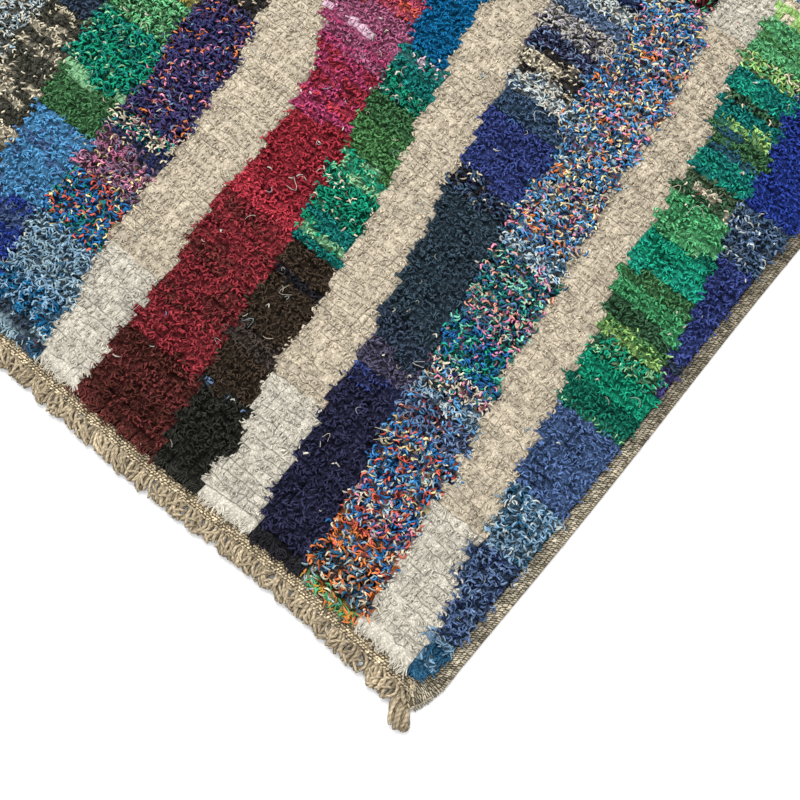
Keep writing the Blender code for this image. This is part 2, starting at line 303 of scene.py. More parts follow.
LATER_SKEINS = {    # the same yarns go round again further up, in lengths of the weaver's own liking
    "indigo": ("indigo", "royal", "violet", "slate_dark", "cobalt", "ink 8 ice 2"),
    "denim": ("denim", "sky", "cobalt", "bottle", "emerald", "mint 6 moss 4", "petrol", "teal",
              "lime 6 leaf 4", "night_green"),
    "bazaar": ("blue 4 orange 2 cream 2 navy 2 candy 1", "blue 4 teal 4 seafoam 2", "ice 7 cream 3",
               "coal 3 teal 3 candy 2 seafoam 2 cobalt 2", "steel 6 maroon 3 peach 1",
               "orange 3 olive 2 teal 2 powder 2"),
    "night": ("ink", "deep_teal", "indigo", "coal 9 ice 1", "slate", "plum_slate", "ice 7 cream 3",
              "slate_dark"),
    "grove": ("espresso", "black_green", "fern", "emerald 8 cream 2", "forest", "teal", "ocean", "grey_brown",
              "mint 6 emerald 4"),
    "ember": ("red", "maroon 8 crimson 2", "rose 7 crimson 3", "plum 6 pink 4", "wine 8 maroon 2",
              "raspberry 7 coral 3", "crimson"),
    "berry": ("purple 6 navy 2 orange 1 cream 1", "lilac 7 plum 3", "steel 6 powder 4", "violet 7 plum 3",
              "coal 6 cream 4", "navy 7 cream 3"),
    "sea": ("azure 8 cobalt 2", "royal 6 denim 4", "forest", "teal 4 emerald 6", "leaf", "mustard 7 olive 3",
            "petrol"),
    "ash": ("charcoal 6 cream 4", "slate_dark", "powder 6 ice 4", "grey_brown", "coal 9 ice 1"),
}


def read_mix(words):
    """'emerald 7 mint 3' as yarn numbers and their shares."""
    words = words.split()
    if len(words) == 1:
        words.append("1")
    shares = np.array(words[1::2], float)
    return [YARN_NAMES.index(name) for name in words[0::2]], shares / shares.sum()


def finish_skeins(stripe, charted, seed):
    """The charted skeins of a stripe, and then more of the same up to the back of the rug."""
    if stripe in ("birch", "dawn", "mist"):
        return [(reach + (0 if charted else 37 * (seed % 5)), mix) for reach, mix in SKEINS[stripe]]
    rng = random.Random(seed)
    skeins = list(SKEINS[stripe]) if charted else []
    reach = skeins[-1][0] if skeins else 0
    later, turn = LATER_SKEINS[stripe], rng.randrange(20)
    while reach < 1760:
        reach += rng.choice((14, 22, 30, 46, 60, 78, 94))
        skeins.append((reach, later[turn % len(later)]))
        turn += rng.choice((1, 1, 2))
    return skeins


stripe_names = [name.split(" | ")[0] for name, _ in BORDERS] + [name for name, _ in LEFT_STRIPES]
skein_chart = [[(reach, read_mix(mix)) for reach, mix in finish_skeins(name, index <= len(BORDERS), index)]
               for index, name in enumerate(stripe_names)]
drift_rows, drift = np.array(WANDER, float).T


def borders_at(t):
    """How far in every border lies, t millimetres up the rug."""
    onward = np.interp(t, drift_rows, drift) - np.interp(min(t, CHART_ROWS[-1]), drift_rows, drift)
    found = [float(np.interp(t, CHART_ROWS, offsets) + onward) for _, offsets in BORDERS]
    for index, (_, width) in enumerate(LEFT_STRIPES[:-1]):
        found.append(found[-1] + width + 3 * math.sin(t / 90 + 1.9 * index))
    return found


print(len(stripe_names), "stripes;", sum(len(chart) for chart in skein_chart), "skeins")

# %% [markdown]
# Each knot holds one dye, or a mix where the skein is mixed. The knots sit in rows, like stitches, so the
# rug is a grid: 210 knots across and 211 rows up. The border of a stripe can only step from knot to knot,
# which gives the small teeth along it, and no weaver counts every knot the same, so it also strays a little.

# %% Every knot and its dye
COLUMNS, ROWS = 210, 211
KNOT_WIDTH, ROW_HEIGHT = 2 * FIELD_HALF_WIDTH / COLUMNS, 2 * FIELD_HALF_LENGTH / ROWS
SEEN_HIGHER = (2.4, 2.9)          # the charts were read off the pile's top on the slant: so far off, in mm
NEW_YARN = 0.26                   # the chance that the next knot of a mixed skein takes another of its yarns
weaver = random.Random(41)
knot_mix, knot_yarn = np.zeros((ROWS, COLUMNS), int), np.zeros((ROWS, COLUMNS), int)
mix_list, mix_number = [], {}
for row in range(ROWS):
    up = (ROOT_LINE - FIELD_HALF_LENGTH + (row + 0.5) * ROW_HEIGHT) * 1000 + SEEN_HIGHER[1]
    places = [place + weaver.gauss(0, 1.6) for place in borders_at(up)]
    stray_up, last_key = 0.0, None
    for column in range(COLUMNS):
        inward = (HALF_WIDTH - FIELD_HALF_WIDTH + (column + 0.5) * KNOT_WIDTH) * 1000 + SEEN_HIGHER[0]
        stripe = sum(place < inward for place in places)
        if weaver.random() < 0.16:
            stray_up = weaver.gauss(0, 2.2)
        chart = skein_chart[stripe]
        mix = next((mix for reach, mix in chart if up + stray_up < reach), chart[-1][1])
        key = (tuple(mix[0]), tuple(mix[1]))
        if key not in mix_number:
            mix_number[key] = len(mix_list)
            mix_list.append(mix)
        if key != last_key or weaver.random() < NEW_YARN:
            yarn, last_key = weaver.choices(mix[0], mix[1])[0], key
        knot_mix[row, column], knot_yarn[row, column] = mix_number[key], yarn
row_tone = np.array([[weaver.gauss(1, 0.035)] for _ in range(ROWS)])
tone = np.array([[weaver.gauss(1, 0.06) for _ in range(COLUMNS)] for _ in range(ROWS)]) * row_tone
knot_dye = DYES[knot_yarn] * tone[:, :, None]
# how much a knot's tuft curls and opens: least in pale wool of one dye, most in a mix of three yarns or more
GREY_SHARES = np.array([0.3, 0.59, 0.11])
PALE_LIGHT, DARK_LIGHT = 0.35, 0.035      # a skein is pale above the first, and dark below the second
mix_dye = np.array([shares @ DYES[yarns] for yarns, shares in mix_list])
mix_light = mix_dye @ GREY_SHARES
lively = np.array([1.0 if len(yarns) > 2 else 0.0 if light > PALE_LIGHT else 0.45
                   for (yarns, _), light in zip(mix_list, mix_light)])[knot_mix]

parted = np.zeros((ROWS + 1, COLUMNS + 1))      # where the pile opens a little between two rows
for row in range(ROWS + 1):
    column = 0
    while column < COLUMNS:
        column += weaver.randint(1, 9)
        run = weaver.randint(1, 4)
        parted[row, column:column + run] = weaver.uniform(0.5, 1)
        column += run

# the grid runs from the right-hand edge to the left, and from the front row to the back
knot_x, knot_y = np.meshgrid(FIELD_HALF_WIDTH - (np.arange(COLUMNS) + 0.5) * KNOT_WIDTH,
                             -FIELD_HALF_LENGTH + (np.arange(ROWS) + 0.5) * ROW_HEIGHT)
seam_x, seam_y = np.meshgrid(FIELD_HALF_WIDTH - np.arange(COLUMNS + 1) * KNOT_WIDTH,
                             -FIELD_HALF_LENGTH + np.arange(ROWS + 1) * ROW_HEIGHT)
print(ROWS * COLUMNS, "knots in", len(mix_list), "skeins and mixes")

# %% [markdown]
# Wool takes up its dye unevenly. Its strands are painted darker at the root than at the clipped tip, as the
# shade that falls deep in the pile. One material serves all the pile: the dye comes from a colour attribute
# on the mesh, a second attribute, height, holds that painted shade, from how far up the strand a point is and
# how far it faces up, and a fine noise breaks the colour as fibres do. On the strands it is drawn out along
# each one, from how far round and how far along it a point lies. Matt wool has no shine to speak of, so the
# shader has next to none. A second wool, for the bed of the pile, has the small round ends of clipped curls
# instead, as a pattern of cells, each painted lighter in its middle and darker at its rim, with painted shade
# along thin broken lines between the rows.

# %% Wool
def stored(add, label, output="Fac"):
    """What the mesh stores at each point under this name."""
    return add("ShaderNodeAttribute", attribute_name=label).outputs[output]


def add_streaks(add, along_scale):
    """Noise drawn out along every strand, and shifted from one strand to the next."""
    turn = add("ShaderNodeVectorMath", {0: stored(add, "round", "Vector"), "Scale": 2.4}, operation="SCALE")
    scaled = add("ShaderNodeMath", {0: stored(add, "along"), 1: along_scale}, operation="MULTIPLY")
    along = add("ShaderNodeCombineXYZ", {"Z": scaled.outputs["Value"]})
    place = add("ShaderNodeTexCoord").outputs["Object"]
    shifted = add("ShaderNodeVectorMath", {0: place, 1: (140, 140, 140), 2: along.outputs["Vector"]},
                  operation="MULTIPLY_ADD")
    moved = add("ShaderNodeVectorMath", {0: turn.outputs["Vector"], 1: shifted.outputs["Vector"]},
                operation="ADD").outputs["Vector"]
    return add("ShaderNodeTexNoise", {"Scale": 1.0, "Detail": 2.0, "Vector": moved}).outputs["Fac"]


def colour_and_relief(add, shader, shade, relief, strength, depth, gloss):
    """The stored dye times a shade, on a surface that a relief roughens."""
    wool = add("ShaderNodeVectorMath", {0: stored(add, "dye", "Color"), "Scale": shade}, operation="SCALE")
    rough = add("ShaderNodeBump", {"Strength": strength, "Distance": depth, "Height": relief})
    feed(shader, {"Base Color": wool.outputs["Vector"], "Normal": rough.outputs["Normal"],
                  "Specular IOR Level": gloss})


def make_wool(name, root_shade, contrast, curls=None):
    material, shader, add, calculate = new_material(name)
    place = add("ShaderNodeTexCoord").outputs["Object"]

    def ranged(value, low, high, to_low, to_high):
        return add("ShaderNodeMapRange", {"Value": value, "From Min": low, "From Max": high,
                                          "To Min": to_low, "To Max": to_high}).outputs["Result"]

    if curls:
        relief = add("ShaderNodeTexNoise", {"Scale": 1100, "Detail": 3.0, "Vector": place}).outputs["Fac"]
    else:
        relief = add_streaks(add, 270)
    shade = calculate("MULTIPLY", ranged(stored(add, "height"), 0, 1, root_shade, 1),
                      ranged(relief, 0.3, 0.7, *contrast))
    if curls:
        # painted shade: each cell is lighter in its middle and darker at its rim, most in dark wool, as light
        # falls on the round end of a curl
        cells = add("ShaderNodeTexVoronoi", {"Scale": 1 / curls, "Vector": place})
        paleness = add("ShaderNodeRGBToBW", {"Color": stored(add, "dye", "Color")}).outputs["Val"]
        tuft = ranged(cells.outputs["Distance"], 0.20, 0.62, 1.16, ranged(paleness, 0.03, 0.40, 0.34, 0.76))
        grid = add("ShaderNodeSeparateXYZ", {"Vector": stored(add, "grid", "Vector")})
        # painted shade: broken thin dark lines between rows, and fewer between columns, where the pile parts
        for axis, run, kept in (("Y", 60, 0.50), ("X", 75, 0.42)):
            apart = calculate("PINGPONG", grid.outputs[axis], 0.5)
            breaks = add("ShaderNodeTexNoise", {"Scale": run, "Detail": 0.0, "Vector": place}).outputs["Fac"]
            seam = calculate("MAXIMUM", ranged(apart, 0.02, 0.09, 0.42, 1),
                             ranged(breaks, kept, kept + 0.05, 0, 1))
            tuft = calculate("MULTIPLY", tuft, seam)
        shade, relief = calculate("MULTIPLY", shade, tuft), calculate("MULTIPLY", relief, tuft)
    colour_and_relief(add, shader, shade, relief, 0.5, 0.0006, 0.04)
    return material


pile_wool = make_wool("pile_wool", root_shade=0.30, contrast=(0.54, 1.40))
bed_wool = make_wool("bed_wool", root_shade=0.30, contrast=(0.74, 1.26), curls=0.0019)


def paint(mesh, name, colours, domain="POINT"):
    """Stores one colour for each point, or for each corner of each face."""
    attribute = mesh.attributes.new(name, "FLOAT_COLOR", domain)
    full = np.ones((len(colours), 4))
    full[:, :3] = colours
    attribute.data.foreach_set("color", full.ravel())


def mark(mesh, name, kind, values):
    """Stores one number or vector for each point."""
    attribute = mesh.attributes.new(name, kind, "POINT")
    field = {"FLOAT": "value", "FLOAT_VECTOR": "vector"}[kind]
    attribute.data.foreach_set(field, np.asarray(values, float).ravel())


def bake_map(mesh, u, v):
    """A flat map for baking, from one place for each point."""
    layer = mesh.uv_layers.new(name="OFBake")
    corner_points = np.zeros(len(mesh.loops), int)
    mesh.loops.foreach_get("vertex_index", corner_points)
    layer.uv.foreach_set("vector", np.stack([u[corner_points], v[corner_points]], -1).ravel())


def count_triangles(piece):
    return sum(len(face.vertices) - 2 for face in piece.data.polygons)


def shade_smooth(mesh):
    mesh.polygons.foreach_set("use_smooth", np.ones(len(mesh.polygons), bool))


def faces_up(mesh):
    """How far each point faces up, from 0 to 1."""
    normals = np.zeros(3 * len(mesh.vertices))
    mesh.vertex_normals.foreach_get("vector", normals)
    return normals[2::3].clip(0, 1)


def stored_values(mesh, name, field, width):
    values = np.zeros(width * len(mesh.vertices))
    mesh.attributes[name].data.foreach_get(field, values)
    return values.reshape(-1, width)


# %% [markdown]
# The pile is thousands of tufts, and each could be modelled. From a step away the eye sees only lumps of
# colour, so all of the pile has a bed first: a sheet with a peak for every knot and a dip between each four.
# Near the corner that the camera looks at, the bed lies lower and real strands of yarn stand on it. The four
# sides of a knot in a mixed skein can have yarns of their own, painted darker there as the shade between the
# strands. The dips, the partings between rows and the foot of the rim are painted darker as well, as shade.
# The first and last rows bulge a little over the woven ends.

# %% The bed of the pile
CLOSE_SPREAD = 0.5 * 36 / CAMERA_LENS + 0.005      # half the camera's view at a distance of one
CLOSE_NEAR, CLOSE_FAR, CLOSE_FADE = -0.31, 0.372, 0.035
BED_PEAK, BED_DIP = (0.0100, 0.0082), (0.0066, 0.0068)     # away from the corner, and under the strands
LIVELY_SINKS, PARTED_SINKS = 0.0016, 0.0018        # the bed lies deeper under mixed skeins and in partings
CALM_RISES = (0.0006, 0.0012)     # and pale wool of one dye lies flatter
LIP = (0.0026, 0.0050)            # how far the first and last rows bulge over the woven ends
pencil = np.random.default_rng(7)


def closeness(x, y):
    """1 where strands stand, falling to 0 away from the corner that is seen from close by."""
    dx, dy = np.asarray(x) - AIM.x, np.asarray(y) - AIM.y
    across = dx * math.cos(CAMERA_AZIMUTH) + dy * math.sin(CAMERA_AZIMUTH)
    away = -dx * math.sin(CAMERA_AZIMUTH) + dy * math.cos(CAMERA_AZIMUTH)
    half = CLOSE_SPREAD * (CAMERA_DISTANCE + away * math.cos(CAMERA_ELEVATION))
    outside = np.maximum.reduce([np.abs(across) - half, away - CLOSE_FAR, CLOSE_NEAR - away, 0 * away])
    return np.clip(1 - outside / CLOSE_FADE, 0, 1)


def lay(x, y):
    return settle(*round_corner(x, y))


def take_another(dye, mixes, chosen):
    """Gives the chosen places another yarn of their own mix."""
    for number, (yarns, shares) in enumerate(mix_list):
        here = np.flatnonzero((mixes == number) & chosen)
        dye[here] = DYES[pencil.choice(yarns, len(here), p=shares)]


def at_seams(values):
    """From one value a knot to one for each crossing of the seams: the mean of the four knots round it."""
    padded = np.pad(values, [(1, 1), (1, 1)] + [(0, 0)] * (values.ndim - 2), "edge")
    return (padded[:-1, :-1] + padded[1:, :-1] + padded[:-1, 1:] + padded[1:, 1:]) / 4


def grid_bed():
    peak_x, peak_y = lay(knot_x + pencil.normal(0, 0.0005, knot_x.shape),
                         knot_y - 0.0008 + pencil.normal(0, 0.0007, knot_y.shape))
    stray_x, stray_y = pencil.normal(0, 0.0007, seam_x.shape), pencil.normal(0, 0.0009, seam_x.shape)
    for stray in (stray_x, stray_y):
        stray[[0, -1]], stray[:, [0, -1]] = 0, 0
    stray_y[0], stray_y[-1] = -pencil.uniform(*LIP, COLUMNS + 1), pencil.uniform(*LIP, COLUMNS + 1)
    dip_x, dip_y = lay(seam_x + stray_x, seam_y + stray_y)
    near, near_dip = closeness(peak_x, peak_y), closeness(dip_x, dip_y)
    sunk, sunk_dip = near * lively, near_dip * at_seams(lively)
    calm, calm_dip = near * (lively == 0), near_dip * at_seams((lively == 0) * 1.0)
    peak_z = (BED_PEAK[0] + (BED_PEAK[1] - BED_PEAK[0]) * near - LIVELY_SINKS * sunk + CALM_RISES[0] * calm
              + pencil.normal(0, 0.0005, near.shape))
    dip_z = (BED_DIP[0] + (BED_DIP[1] - BED_DIP[0]) * near_dip - LIVELY_SINKS * sunk_dip
             - PARTED_SINKS * parted + CALM_RISES[1] * calm_dip + pencil.normal(0, 0.0003, near_dip.shape))
    deep = sunk[:, :, None]
    peak_dye = knot_dye * (1 - deep) + mix_dye[knot_mix] * deep
    side_dye = np.tile(peak_dye.reshape(-1, 3), (4, 1))
    many = np.tile((lively == 1).ravel(), 4)
    take_another(side_dye, np.tile(knot_mix.ravel(), 4), many & (pencil.random(many.size) < 0.8))
    # painted shade: under the strands of mixed skeins the sides of the knots are darker
    side_dye *= 1 - 0.30 * np.tile(sunk.ravel(), 4)[:, None]
    tops = np.concatenate([np.stack([peak_x, peak_y, peak_z], -1).reshape(-1, 3),
                           np.stack([dip_x, dip_y, dip_z], -1).reshape(-1, 3)])
    first_dip = ROWS * COLUMNS
    dips = first_dip + np.arange((ROWS + 1) * (COLUMNS + 1)).reshape(ROWS + 1, COLUMNS + 1)
    peaks = np.arange(first_dip).reshape(ROWS, COLUMNS)
    # the columns run leftwards, so (column, row) corners a b c d go round clockwise as seen from above
    a, b, c, d = dips[:-1, :-1], dips[:-1, 1:], dips[1:, 1:], dips[1:, :-1]
    sides = [np.stack([second, first, peaks], -1).reshape(-1, 3)
             for first, second in ((a, b), (b, c), (c, d), (d, a))]
    faces = np.concatenate(sides).tolist()
    # the rim goes straight down to the ground, and the underside closes it
    ring = np.concatenate([dips[0, :], dips[1:, -1], dips[-1, -2::-1], dips[-2:0:-1, 0]])
    foot = tops[ring].copy()
    foot[:, 2] = CLOTH_TOP - 0.0004
    first_foot = len(tops)
    count = len(ring)
    centre = first_foot + count
    points = np.concatenate([tops, foot, [[0, 0, CLOTH_TOP - 0.0004]]])
    for i in range(count):
        j = (i + 1) % count
        faces.append([ring[i], ring[j], first_foot + j, first_foot + i])
        faces.append([first_foot + i, first_foot + j, centre])
    # each knot's own dye on its four faces, so that two colours meet in a clear line
    dye = np.full((sum(len(face) for face in faces), 3), 0.1)
    dye[:12 * first_dip] = np.repeat(side_dye, 3, 0)
    rim_row, rim_column = np.divmod(ring - first_dip, COLUMNS + 1)
    rim_dye = peak_dye[rim_row.clip(0, ROWS - 1), rim_column.clip(0, COLUMNS - 1)]
    for corner in range(4):
        dye[12 * first_dip + corner::7] = rim_dye
    # painted shade: height is lower in the dips, lower still in the partings and under mixed skeins, and
    # lowest at the foot of the rim
    height = np.concatenate([(0.96 - 0.06 * near - 0.30 * sunk).ravel(),
                             (0.24 + 0.38 * near_dip - 0.42 * sunk_dip + 0.20 * calm_dip
                              - 0.55 * parted * near_dip * (1 - calm_dip)).ravel(),
                             np.full(count + 1, 0.1)])
    knot_grid = np.meshgrid(np.arange(COLUMNS) + 0.5, np.arange(ROWS) + 0.5)
    seam_grid = np.meshgrid(np.arange(COLUMNS + 1), np.arange(ROWS + 1))
    grid = np.concatenate([np.stack(places, -1).reshape(-1, 2) for places in (knot_grid, seam_grid)])
    grid = np.concatenate([grid, grid[ring], [[0.5, 0.5]]])
    return points, faces, dye, height, np.pad(grid, ((0, 0), (0, 1))), first_foot


bed_points, bed_faces, bed_dye, bed_painted_shade, bed_grid, first_foot = grid_bed()
pile_bed = mesh_object("pile_bed", bed_points.tolist(), bed_faces, bed_wool)
paint(pile_bed.data, "dye", bed_dye, "CORNER")
mark(pile_bed.data, "height", "FLOAT", bed_painted_shade)
mark(pile_bed.data, "grid", "FLOAT_VECTOR", bed_grid)
shade_smooth(pile_bed.data)
flat_u = (bed_points[:, 0] / RUG_WIDTH + 0.5) * 0.93
flat_v = (bed_points[:, 1] / RUG_LENGTH + 0.5) * 0.96
below = np.arange(len(bed_points)) >= first_foot
bake_map(pile_bed.data, np.where(below, 0.95 + 0.04 * (bed_points[:, 0] / RUG_WIDTH + 0.5), flat_u),
         np.where(below, 0.97 * (bed_points[:, 1] / RUG_LENGTH + 0.5), flat_v))
print("pile bed:", count_triangles(pile_bed), "triangles")

# %% [markdown]
# A strand of clipped pile rises from its knot, bends over and lies across its neighbours. Thousands are
# needed, all alike in make and all different in shape, so Geometry Nodes grow them: a short line is placed on
# each root, bent through the offsets stored on that root, and given a three-sided skin of its own thickness.
# The same tree makes the fringe, the tassels and the loose fibres, with more sides and more bends, and with
# the bends gathered towards the tip, which makes it round. It also notes on every point which way round the
# strand and how far along it lies, so that a material can show the twist of the yarn.

# %% A tree that grows bent strands
def grow_tree(name, taper):
    """Roots carry reach (where the tip is), bend (the pull on the middle) and girth, which taper shapes."""
    tree = bpy.data.node_groups.new(name, "GeometryNodeTree")
    sockets = {}
    for label, kind in (("Roots", "NodeSocketGeometry"), ("Sides", "NodeSocketInt"),
                        ("Bends", "NodeSocketInt"), ("Gather", "NodeSocketFloat"),
                        ("Finish", "NodeSocketMaterial")):
        sockets[label] = tree.interface.new_socket(label, in_out="INPUT", socket_type=kind).identifier
    tree.interface.new_socket("Strands", in_out="OUTPUT", socket_type="NodeSocketGeometry")
    add, calculate = node_tools(tree)

    def named(label, kind):
        return add("GeometryNodeInputNamedAttribute", {"Name": label}, data_type=kind).outputs["Attribute"]

    def scaled(vector, factor):
        return add("ShaderNodeVectorMath", {0: vector, "Scale": factor}, operation="SCALE").outputs["Vector"]

    def noted(label, kind, geometry, value):
        return add("GeometryNodeStoreNamedAttribute", {"Name": label, "Geometry": geometry, "Value": value},
                   data_type=kind, domain="POINT").outputs["Geometry"]

    given, result = add("NodeGroupInput").outputs, add("NodeGroupOutput")
    line = add("GeometryNodeCurvePrimitiveLine", {"End": (0, 0, 0.001)})
    divided = add("GeometryNodeResampleCurve", {"Curve": line.outputs["Curve"],
                                                "Count": calculate("ADD", given["Bends"], 1)})
    placed = add("GeometryNodeInstanceOnPoints", {"Points": given["Roots"],
                                                  "Instance": divided.outputs["Curve"]})
    real = add("GeometryNodeRealizeInstances", {"Geometry": placed.outputs["Instances"]})
    even_share = add("GeometryNodeSplineParameter").outputs["Factor"]
    left_over = calculate("POWER", calculate("SUBTRACT", 1, even_share), given["Gather"])
    share = calculate("SUBTRACT", 1, left_over)
    arch = calculate("MULTIPLY", calculate("MULTIPLY", share, calculate("SUBTRACT", 1, share)), 2)
    square = calculate("MULTIPLY", share, share)
    summed = add("ShaderNodeVectorMath", {0: scaled(named("bend", "FLOAT_VECTOR"), arch),
                                          1: scaled(named("reach", "FLOAT_VECTOR"), square)}, operation="ADD")
    moved = add("GeometryNodeSetPosition", {"Geometry": real.outputs["Geometry"],
                                            "Offset": summed.outputs["Vector"]})
    rail = noted("height", "FLOAT", moved.outputs["Geometry"], share)
    rail = noted("along", "FLOAT", rail, add("GeometryNodeSplineParameter").outputs["Length"])
    thickness = add("ShaderNodeFloatCurve", {"Value": share})
    points = thickness.mapping.curves[0].points
    points[0].location, points[1].location = (0, taper[0]), (1, taper[-1])
    for share_up, value in zip((0.5, 0.88), taper[1:-1]):
        points.new(share_up, value)
    thickness.mapping.update()
    ring = add("GeometryNodeCurvePrimitiveCircle", {"Resolution": given["Sides"], "Radius": 1.0})
    around = add("GeometryNodeInputPosition").outputs["Position"]
    skin = add("GeometryNodeCurveToMesh", {
        "Curve": rail, "Profile Curve": noted("round", "FLOAT_VECTOR", ring.outputs["Curve"], around),
        "Scale": calculate("MULTIPLY", thickness.outputs["Value"], named("girth", "FLOAT")),
        "Fill Caps": True})
    smooth = add("GeometryNodeSetShadeSmooth", {"Geometry": skin.outputs["Mesh"]})
    dressed = add("GeometryNodeSetMaterial", {"Geometry": smooth.outputs["Geometry"],
                                              "Material": given["Finish"]})
    feed(result, {0: dressed.outputs["Geometry"]})
    return tree, sockets


def run_tree(name, tree, settings, seeds):
    """Evaluates a tree on an object once, and keeps the plain mesh that comes out."""
    modifier = seeds.modifiers.new("grow", "NODES")
    modifier.node_group = tree
    for identifier, value in settings.items():
        modifier[identifier] = value
    bpy.context.view_layer.update()
    evaluated = seeds.evaluated_get(bpy.context.evaluated_depsgraph_get())
    mesh = bpy.data.meshes.new_from_object(evaluated)
    mesh.name = name
    seeds.modifiers.remove(modifier)
    bpy.data.objects.remove(seeds)
    piece = bpy.data.objects.new(name, mesh)
    bpy.context.collection.objects.link(piece)
    return piece


def cell_map(mesh, stations, sides):
    """A square of its own on the flat map for each strand, seen a little from the side to lose no face."""
    each = stations * sides
    strand, within = np.divmod(np.arange(len(mesh.vertices)), each)
    station, side = np.divmod(within, sides)
    per_row = math.ceil(math.sqrt(strand[-1] + 1))
    angle = 2 * np.pi * side / sides
    u = 0.5 + 0.33 * np.cos(angle) + 0.04 * (station / (stations - 1) - 0.5)
    v = 0.18 + 0.64 * station / (stations - 1) + 0.12 * np.sin(angle)
    bake_map(mesh, (strand % per_row + u) / per_row, (strand // per_row + v) / per_row)


def grow_strands(name, tree, sockets, finish, roots, reach, bend, girth, dye, sides=3, bends=2, gather=1.0):
    seeds = mesh_object(name + "_roots", np.asarray(roots).tolist(), [])
    mark(seeds.data, "reach", "FLOAT_VECTOR", reach)
    mark(seeds.data, "bend", "FLOAT_VECTOR", bend)
    mark(seeds.data, "girth", "FLOAT", girth)
    paint(seeds.data, "dye", dye)
    settings = {sockets["Sides"]: sides, sockets["Bends"]: bends, sockets["Gather"]: gather,
                sockets["Finish"]: finish}
    piece = run_tree(name, tree, settings, seeds)
    wool = finish == pile_wool
    for label in ("reach", "bend", "girth"):
        piece.data.attributes.remove(piece.data.attributes[label])
    # painted shade: height darkens each pile strand towards its root and where it faces down or aside, pale
    # wool less, and each strand of natural yarn where it faces down or aside
    up, share = faces_up(piece.data), stored_values(piece.data, "height", "value", 1)[:, 0]
    paleness = (stored_values(piece.data, "dye", "color", 4)[:, :3] @ GREY_SHARES / 0.45).clip(0, 1)
    height = (0.70 + 0.30 * share) * (1 - (0.60 - 0.38 * paleness) * (1 - up)) if wool else 0.10 + 0.90 * up
    piece.data.attributes["height"].data.foreach_set("value", height)
    cell_map(piece.data, bends + 1, sides)
    return piece


# %% [markdown]
# The tufts were combed towards the front end when they were knotted, and the wool has a little curl. So each
# strand leans to the front, strays to the sides, and bows one way or the other. The first rows gather in
# small clumps, and the first one hangs over the woven end. Yarns that are mixed in one skein curl more and
# let the dark show between them. Three and a half to six strands stand on a knot where the camera is close,
# more on the rim, and hardly any further off.

# %% The strands of the pile
FAR_STRANDS, PALE_STRANDS, DARK_STRANDS, PLAIN_STRANDS, MIXED_STRANDS = 0.03, 3.5, 3.4, 3.92, 5.95
RIM_STRANDS, DARK_RIM_STRANDS = 6, 3      # so many more on the outermost knots, and again on dark ones
MEETING_STRANDS = 0.8             # and where two skeins meet
STRAY_PALE, SHADED_SHARE = 0.006, 0.07    # the shares of stray pale tufts, and of shaded strands in a mix
PILE_PIECES = 4
pile_tree, pile_sockets = grow_tree("pile_strands", (0.80, 1.0, 0.95, 0.72))


